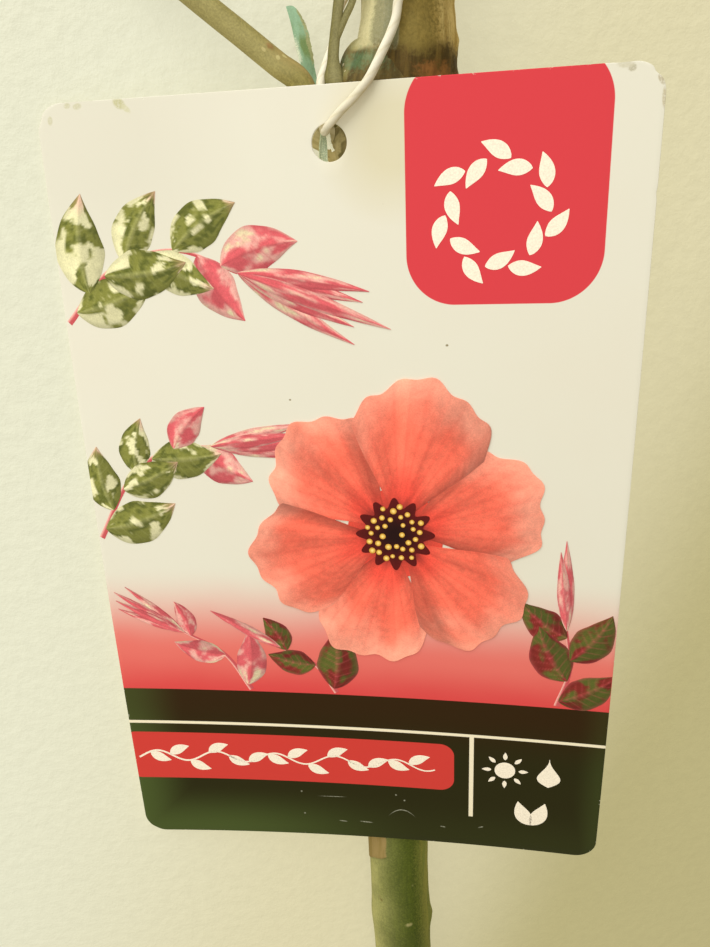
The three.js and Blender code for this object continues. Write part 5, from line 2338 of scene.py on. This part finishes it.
@dataclass
class PlantLabel:
    """The printed card: its bent shape, its hole, and the printed figures.

    Attributes:
        width: The flat card's width.
        height: Its height.
        thickness: Its thickness.
        corner: Radius of its corners.
        hole: Diameter of the punched hole.
        hole_drop: Distance from the top edge to the hole's middle.
        roll_deg: How far the card rolls about its length.
        pitch_deg: How far it pitches.
        middle_height: Height of its middle.
        bend: Bend across, more of it lower down, bend along, and twist.
        bevel: Rounding of its cut edges.
        nicks: Small dents in its outline, as card place, depth and half width.
        layer: Height between two levels of print.
    """

    width: float = 100
    height: float = 152
    thickness: float = 0.5
    corner: float = 4.5
    hole: float = 5.7
    hole_drop: float = 8.4
    roll_deg: float = 16.16
    pitch_deg: float = 1.25
    middle_height: float = 15.45
    bend: tuple[float, float, float, float] = (1.03, 0.83, -1.32, -1.78)
    bevel: float = 0.1
    nicks: tuple[tuple[float, float, float, float], ...] = (
        (43.5, 76, 0.35, 0.9), (48.9, 74.6, 0.4, 0.8), (-49.4, 73.3, 0.3, 0.7), (-36.5, 76, 0.15, 0.6),
        (50, 58, 0.15, 0.6), (-47.5, -74.6, 0.25, 0.8),
    )
    layer: float = 0.012

    @property
    def half_size(self) -> Array:
        """Half the card's width and height."""
        return np.array([self.width / 2, self.height / 2])

    @property
    def hole_middle(self) -> Array:
        """Card place of the hole's middle."""
        return np.array([0.0, self.height / 2 - self.hole_drop])

    def lift(self, x: Array, y: Array, rise: Array | float) -> Array:
        """Puts card places into the bench frame.

        The bent card's height is the bend across times the squared share of the half width, plus
        the bend along and the twist. The card then rolls, pitches and rises to its middle height.

        Args:
            x: Card millimetres to the right.
            y: Card millimetres up.
            rise: Height over the card's middle layer.

        Returns:
            Bench millimetres, channels last.
        """
        across, lower, along, twist = self.bend
        u, v = x / (self.width / 2), -y / (self.height / 2)
        z = (across + lower * v) * u**2 + along * v**2 + twist * u * v + rise
        roll, pitch = math.radians(self.roll_deg), math.radians(self.pitch_deg)
        rolled_x = x * math.cos(roll) - z * math.sin(roll)
        rolled_z = x * math.sin(roll) + z * math.cos(roll)
        return np.stack([
            rolled_x,
            y * math.cos(pitch) - rolled_z * math.sin(pitch),
            y * math.sin(pitch) + rolled_z * math.cos(pitch) + self.middle_height,
        ], axis=-1)

    def reach(self, angle: Array) -> Array:
        """Works out the distance from the hole's middle to the card's edge along each angle.

        It is the nearest side's distance, or that of the corner's circle where the side would be
        met inside a corner, less the nicks.

        Args:
            angle: Angles of the rays, counted from the right.

        Returns:
            Distances.
        """
        start, half = self.hole_middle, self.half_size
        way = np.stack([np.cos(angle), np.sin(angle)], axis=1)
        with np.errstate(divide="ignore"):
            sides = (np.sign(way) * half - start) / np.where(np.abs(way) < 1e-9, 1e-9, way)
        out = np.abs(sides).min(axis=1)
        met = start + way * out[:, None]
        in_corner = (np.abs(met) > half - self.corner).all(axis=1)
        centre = np.sign(met) * (half - self.corner)
        along = ((centre - start) * way).sum(axis=1)
        off = ((centre - start) ** 2).sum(axis=1) - along**2
        out = np.where(in_corner, along + np.sqrt(np.maximum(0.0, self.corner**2 - off)), out)
        met = start + way * out[:, None]
        for x, y, depth, wide in self.nicks:
            gap = ((met - [x, y]) ** 2).sum(axis=1)
            out = out - depth * np.exp(-gap / wide**2)
        return out

    def card(self) -> Surface:
        """Builds the card on rays from the hole's middle.

        Rings run from the hole's rim out over the front, round the outer rim, back behind and
        round the hole's wall, so that the grid closes both ways.

        Returns:
            The card, with its map kept.
        """
        start = self.hole_middle
        angle = np.linspace(-math.pi, math.pi, 300, endpoint=False)
        half = self.half_size - self.corner
        for sx in (-1, 1):
            for sy in (-1, 1):
                arc = np.linspace(0.0, math.pi / 2, 16)
                round_corner = self.corner * np.stack([np.cos(arc), np.sin(arc)], axis=1)
                rim = np.array([sx, sy]) * (half + round_corner)
                angle = np.concatenate([angle, np.arctan2(*(rim - start).T[::-1])])
        for x, y, _, wide in self.nicks:
            aim = math.atan2(y - start[1], x - start[0])
            room = 3 * wide / math.hypot(x, y - start[1])
            angle = np.concatenate([angle, np.linspace(aim - room, aim + room, 14)])
        angle = np.unique(np.round((angle + math.pi) % (2 * math.pi) - math.pi, 5))
        turn = np.radians([30.0, 60.0, 90.0])
        bulge, fall = self.bevel * np.sin(turn), self.bevel * (1 - np.cos(turn))
        front, back, rim = 70, 24, 2 * len(turn)
        top = np.full(front, self.thickness / 2)
        edge = self.thickness / 2 - fall
        foot = np.full(back, -self.thickness / 2)
        share = [np.linspace(0.0, 1.0, front), np.ones(rim), np.linspace(1.0, 0.0, back), np.zeros(rim)]
        share = np.concatenate(share)
        extra = [np.zeros(front), bulge, bulge[::-1], np.zeros(back), -bulge, -bulge[::-1]]
        extra = np.concatenate(extra)
        rise = np.concatenate([top, edge, -edge[::-1], foot, -edge, edge[::-1]])
        near, far = self.hole / 2 + self.bevel, self.reach(angle) - self.bevel
        out = near + (far[None, :] - near) * share[:, None] + extra[:, None]
        x = start[0] + out * np.cos(angle)
        y = start[1] + out * np.sin(angle)
        points = self.lift(x, y, np.broadcast_to(rise[:, None], x.shape))
        faces = grid_faces(len(share), len(angle), True, True)[:, ::-1].tolist()
        place = np.stack([x / self.width + 0.5, y / self.height + 0.5], axis=-1)
        before = np.broadcast_to((rise > 0)[:, None], x.shape).astype(float)
        kept = {"map": place.reshape(-1, 2), "front": before.reshape(-1)}
        return Surface(points.reshape(-1, 3), faces, kept)

    def press(self, figure: Figure) -> Surface:
        """Makes a figure a thin closed slab of ink that follows the bent card.

        Points past the card's edge are drawn back to it and faces wholly past it are left out.
        The sole repeats the face's grid inside the card, and walls join the two along every edge
        that only one face has.

        Args:
            figure: The figure.

        Returns:
            The slab, with its inks kept.
        """
        rows, columns = figure.place.shape[:2]
        flat = figure.place.reshape(-1, 2)
        reach = self.half_size - self.bevel
        kept = np.clip(flat, -reach, reach)
        faces = grid_faces(rows, columns)
        faces = faces[(np.abs(flat) < reach).all(axis=1)[faces].any(axis=1)]
        a, b, c = (flat[faces[:, k]] for k in (0, 1, 2))
        if ((b - a)[:, 0] * (c - a)[:, 1] - (b - a)[:, 1] * (c - a)[:, 0]).sum() < 0:
            faces = faces[:, ::-1]
        edges = np.stack([faces, np.roll(faces, -1, axis=1)], axis=-1).reshape(-1, 2)
        _, first, count = np.unique(np.sort(edges, axis=1), axis=0, return_index=True, return_counts=True)
        start, end = edges[first[count == 1]].T
        size = len(flat)
        walls = np.stack([end, start, start + size, end + size], axis=1)
        top = self.lift(kept[:, 0], kept[:, 1], self.thickness / 2 + self.layer * (1 + figure.level))
        foot = self.lift(kept[:, 0], kept[:, 1], self.thickness / 2 - self.layer)
        used, numbers = np.unique(np.vstack([faces, faces[:, ::-1] + size, walls]), return_inverse=True)
        ink = np.tile(linear_inks(figure.ink.reshape(-1, 3)), (2, 1))
        return Surface(np.vstack([top, foot])[used], numbers.reshape(-1, 4).tolist(), {"ink": ink[used]})

    def sprays(self) -> list[Figure]:
        """Works out the leafy sprays, arching in from the left and low behind the blossom.

        Returns:
            Their figures.
        """
        sprays = (
            Spray(((-49.3, 40), (-40, 49), (-28, 52), (-17, 48)), 8, 17.5, 4.7, 5, 3, 0),
            Spray(((-49.3, -2), (-42, 10), (-34, 16), (-25, 17)), 7, 15, 4.1, 4, 5, 2),
            Spray(((-22, -36.5), (-27, -28), (-35, -23)), 3, 12, 2.8, 4, 8, 1, Tint.ROSY),
            Spray(((40, -36.5), (42, -28), (41, -19)), 4, 14, 4, 2, 9, 1, Tint.DARK),
            Spray(((-4, -36.5), (-8, -30), (-15, -26)), 3, 13, 3.8, 1, 12, 2, Tint.DARK),
        )
        return [figure for spray in sprays for figure in spray.figures()]

    def emblems(self) -> list[Figure]:
        """Works out the wreath on the red panel, the vine on the bar, the sun, the drop and the leaf.

        Returns:
            Their figures.
        """
        cream = INKS.line_cream
        wreath, sun = np.array([26.5, 56.0]), np.array([30.5, -54.0])
        figures = []
        for k in range(14):
            turn = k * 2 * math.pi / 14
            root = wreath + 8.2 * np.array([math.cos(turn), math.sin(turn)])
            lean = math.degrees(turn) + (62.0 if k % 2 else 118.0)
            figures.append(cream_leaf(root, lean, 5.2, 1.15, 25.0))
        x = np.linspace(-49.0, 16.0, 120)
        vine = np.stack([x, -54.5 + 1.3 * np.sin((x + 48.0) * 0.48)], axis=1)
        figures.append(strip_figure(vine, (0.22, 0.16), cream, cream, EMBLEM_LEVEL))
        for k in range(14):
            out = 44.0 if k % 2 else -44.0
            figures.append(cream_leaf(vine[5 + 8 * k], out, 5.0, 1.1, -out * 0.8))
        figures.append(disc(sun, 2.1, cream, cream, EMBLEM_LEVEL))
        for k in range(8):
            turn = k * math.pi / 4
            root = sun + 2.8 * np.array([math.cos(turn), math.sin(turn)])
            figures.append(cream_leaf(root, math.degrees(turn), 1.9, 0.4, grid=(12, 6)))
        figures.append(cream_leaf((39.4, -50.2), -90.0, 7.4, 2.3, grid=(36, 14), swell=1.9))
        for side in (-1.0, 1.0):
            figures.append(cream_leaf((36.2, -68.5), 90.0 + side * 38.0, 7.0, 1.6, -side * 30.0, (30, 10)))
        return figures

    def build(self, bench: Workbench) -> None:
        """Builds the card and its printed figures.

        Args:
            bench: The workbench.
        """
        bench.piece("label_card", self.card(), CardFinish(), "label_plastic", ["label"])
        printed = {"sprays": self.sprays(), "bloom": Bloom().figures(), "emblems": self.emblems()}
        for name, figures in printed.items():
            slabs = join([self.press(figure) for figure in figures])
            bench.piece(f"label_{name}", slabs, InkFinish(), "label_plastic")


STOCK_BARK = BarkFinish(
    "stock_bark", (60, 72, 10), (78, 88, 18), (178, 172, 104), 0.5, 2.2, 0.25, 0.6, 0.00012,
    (
        # Partly painted light: the brown mark is paler on the side away from the lamps.
        Mark("brown_and_painted_light", (146, 142, 62), (126, 130, 54), 0.65, 0.5, 0.5),
        Mark("healed", (154, 130, 78), (142, 120, 66), 0.8, 0.5, 0.4),
        Mark("dark_edge", (96, 84, 40), (110, 96, 46), 0.75, 0.35, 0.35),
        Mark("pore", (160, 152, 98), (144, 136, 80), 0.8, 0.3, 0.45),
    ),
)
UNION_BARK = BarkFinish(
    "graft_wax", (106, 94, 52), (130, 116, 72), (162, 148, 98), 0.5, 1.8, 0.2, 0.7, 0.0002,
    (
        Mark("wax", (80, 66, 30), (112, 94, 48), 0.55, 0.7, 0.45),
        Mark("old", (132, 118, 62), (116, 104, 54), 0.75, 0.6, 0.45),
        Mark("fresh", (164, 155, 98), (144, 134, 80), 0.65, 0.6, 0.4),
        Mark("film", (180, 169, 120), (162, 154, 106), 0.5, 0.4, 0.4),
        Mark("teal", (80, 98, 60), (116, 124, 82), 0.5, 0.9, 0.45),
        # Painted light: the heel is paler where the label shades the union.
        Mark("painted_light_heel", (200, 182, 132), (176, 160, 112), 0.7, 0.5, 0.35),
        Mark("mottle", (128, 114, 70), (106, 96, 56), 0.7, 0.5, 0.45),
        Mark("fray", (208, 200, 160), (186, 176, 132), 0.7, 0.3),
    ),
)
LEADER_BARK = BarkFinish(
    "leader_bark", (98, 78, 26), (120, 96, 33), (140, 122, 62), 0.6, 2.0, 0.2, 0.75, 0.0002,
    (
        # Partly painted light: the coarse mark is paler on the side away from the lamps.
        Mark("coarse", (172, 142, 74), (208, 182, 114), 0.8, 0.7, 0.45),
        Mark("film", (202, 191, 140), (188, 178, 128), 0.45, 0.15, 0.3),
        Mark("grey_film", (127, 124, 87), (142, 136, 97), 0.45, 0.3, 0.35),
        Mark("wax", (70, 54, 20), (100, 79, 34), 0.55, 0.7, 0.45),
        Mark("red", (134, 90, 44), (110, 72, 34), 0.8, 0.6, 0.35),
        Mark("teal", (80, 106, 64), (112, 128, 82), 0.5, 0.7, 0.3),
    ),
)
BOUGH_BARK = BarkFinish(
    "bough_bark", (116, 106, 50), (138, 127, 66), (165, 153, 96), 1.2, 3.0, 0.3, 0.6, 0.00008,
    (
        # Partly painted light: the brown mark on the upper side. The root mark is painted light.
        Mark("brown_and_painted_light", (160, 140, 84), (146, 128, 74), 0.7, 0.5, 0.45),
        Mark("root", (204, 190, 146), (184, 170, 124), 0.7, 0.5, 0.4),
        Mark("scar", (150, 120, 70), (122, 90, 50), 0.8, 0.5, 0.3),
        Mark("pore", (186, 172, 114), (170, 156, 98), 0.7, 0.2),
    ),
)
TWIG_BARK = BarkFinish(
    "twig_bark", (96, 88, 44), (114, 106, 58), (168, 160, 110), 1.8, 4.0, 0.2, 0.65, 0.00006,
    (Mark("cut", (206, 190, 140), (190, 172, 120), 0.8, 0.0),),
)


# Stage


@dataclass(frozen=True)
class SoftLight:
    """A square soft light that faces the part's middle.

    Attributes:
        name: Its name.
        at: Its place, in metres.
        size: Its side, in metres.
        power: Its power, in watts.
        colour: Its colour, as linear shares of red, green and blue.
    """

    name: str
    at: Place
    size: float
    power: float
    colour: Place

    def hang(self) -> None:
        """Hangs the light."""
        lamp = bpy.data.lights.new(self.name, "AREA")
        lamp.size = self.size
        lamp.energy = self.power
        lamp.color = self.colour
        obj = bpy.data.objects.new(self.name, lamp)
        obj.location = self.at
        obj.rotation_euler = (-obj.location).to_track_quat("-Z", "Y").to_euler()
        bpy.context.scene.collection.objects.link(obj)


@dataclass
class Studio:
    """The pale floor, the soft lights and the camera.

    Attributes:
        lights: The soft lights.
        air: Colour of the light from all round, as linear shares.
        air_strength: Its strength.
        camera_at: The camera's place in the row frame, in millimetres.
        camera_turn_deg: Its turns about x, y and z.
        lens: Focal length for a 36 mm long side.
        floor_half: Half the floor's side, in metres.
    """

    lights: tuple[SoftLight, ...] = (
        SoftLight("key_light", (-0.29, 0.795, 0.308), 0.8, 9.5, (0.895, 0.92, 1.0)),
        SoftLight("near_light", (-0.123, 0.022, 0.2165), 0.4, 0.4, (0.895, 0.92, 1.0)),
    )
    air: Place = (1.0, 0.95, 0.78)
    air_strength: float = 0.44
    camera_at: Place = (-12.561, 66.620, 146.162)
    camera_turn_deg: Place = (-19.012, -7.291, -2.641)
    lens: float = 28.81
    floor_half: float = 3.0

    def build(self, bench: Workbench) -> None:
        """Sets up the floor, the lights, the sky and the camera.

        Args:
            bench: The workbench.
        """
        self.build_floor(bench)
        for light in self.lights:
            light.hang()
        world = bpy.data.worlds.new("studio_air")
        bpy.context.scene.world = world
        world.use_nodes = True
        air = world.node_tree.nodes["Background"]
        air.inputs["Color"].default_value = (*self.air, 1.0)
        air.inputs["Strength"].default_value = self.air_strength
        bpy.context.scene.view_settings.view_transform = "Standard"
        camera = bpy.data.objects.new("camera", bpy.data.cameras.new("camera"))
        camera.data.lens = self.lens
        camera.data.clip_start = 0.005
        camera.location = [x * MM for x in self.camera_at]
        camera.rotation_euler = Euler([math.radians(a) for a in self.camera_turn_deg], "XYZ")
        bpy.context.scene.collection.objects.link(camera)
        bpy.context.scene.camera = camera

    def build_floor(self, bench: Workbench) -> None:
        """Lays the floor, a flat square grid.

        Args:
            bench: The workbench.
        """
        side = np.linspace(-self.floor_half, self.floor_half, 9)
        y, x = np.meshgrid(side, side, indexing="ij")
        points = np.stack([x, y, np.zeros_like(x)], axis=-1).reshape(-1, 3)
        mesh = bpy.data.meshes.new("floor")
        mesh.from_pydata(points, [], grid_faces(9, 9).tolist())
        mesh.materials.append(bench.finish(FloorFinish()))
        floor = bpy.data.objects.new("floor", mesh)
        bpy.context.scene.collection.objects.link(floor)


def bench_shift(label: PlantLabel) -> Array:
    """Finds the shift from the bench frame to the row frame, in millimetres.

    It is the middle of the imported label's box less the middle of the same card's box here.

    Args:
        label: The label.

    Returns:
        The shift.
    """
    low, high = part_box("label")
    packed = (np.array(low) + np.array(high)) / 2 / MM
    points = label.card().points
    return packed - (points.min(axis=0) + points.max(axis=0)) / 2


def main() -> None:
    """Builds the part's looks and the studio."""
    logging.basicConfig(level=logging.INFO, format="%(name)s %(message)s")
    label = PlantLabel()
    bench = Workbench(bench_shift(label))
    LOG.info("bench shift %s mm", np.round(bench.shift, 3))
    limbs = (Stem(), GraftUnion(), Leader(), LeftBough(), LONG_TWIG, SHORT_TWIG)
    for maker in (*limbs, LabelTie(), label, Studio(), GraftingTape()):
        maker.build(bench)


if __name__ == "__main__":
    main()
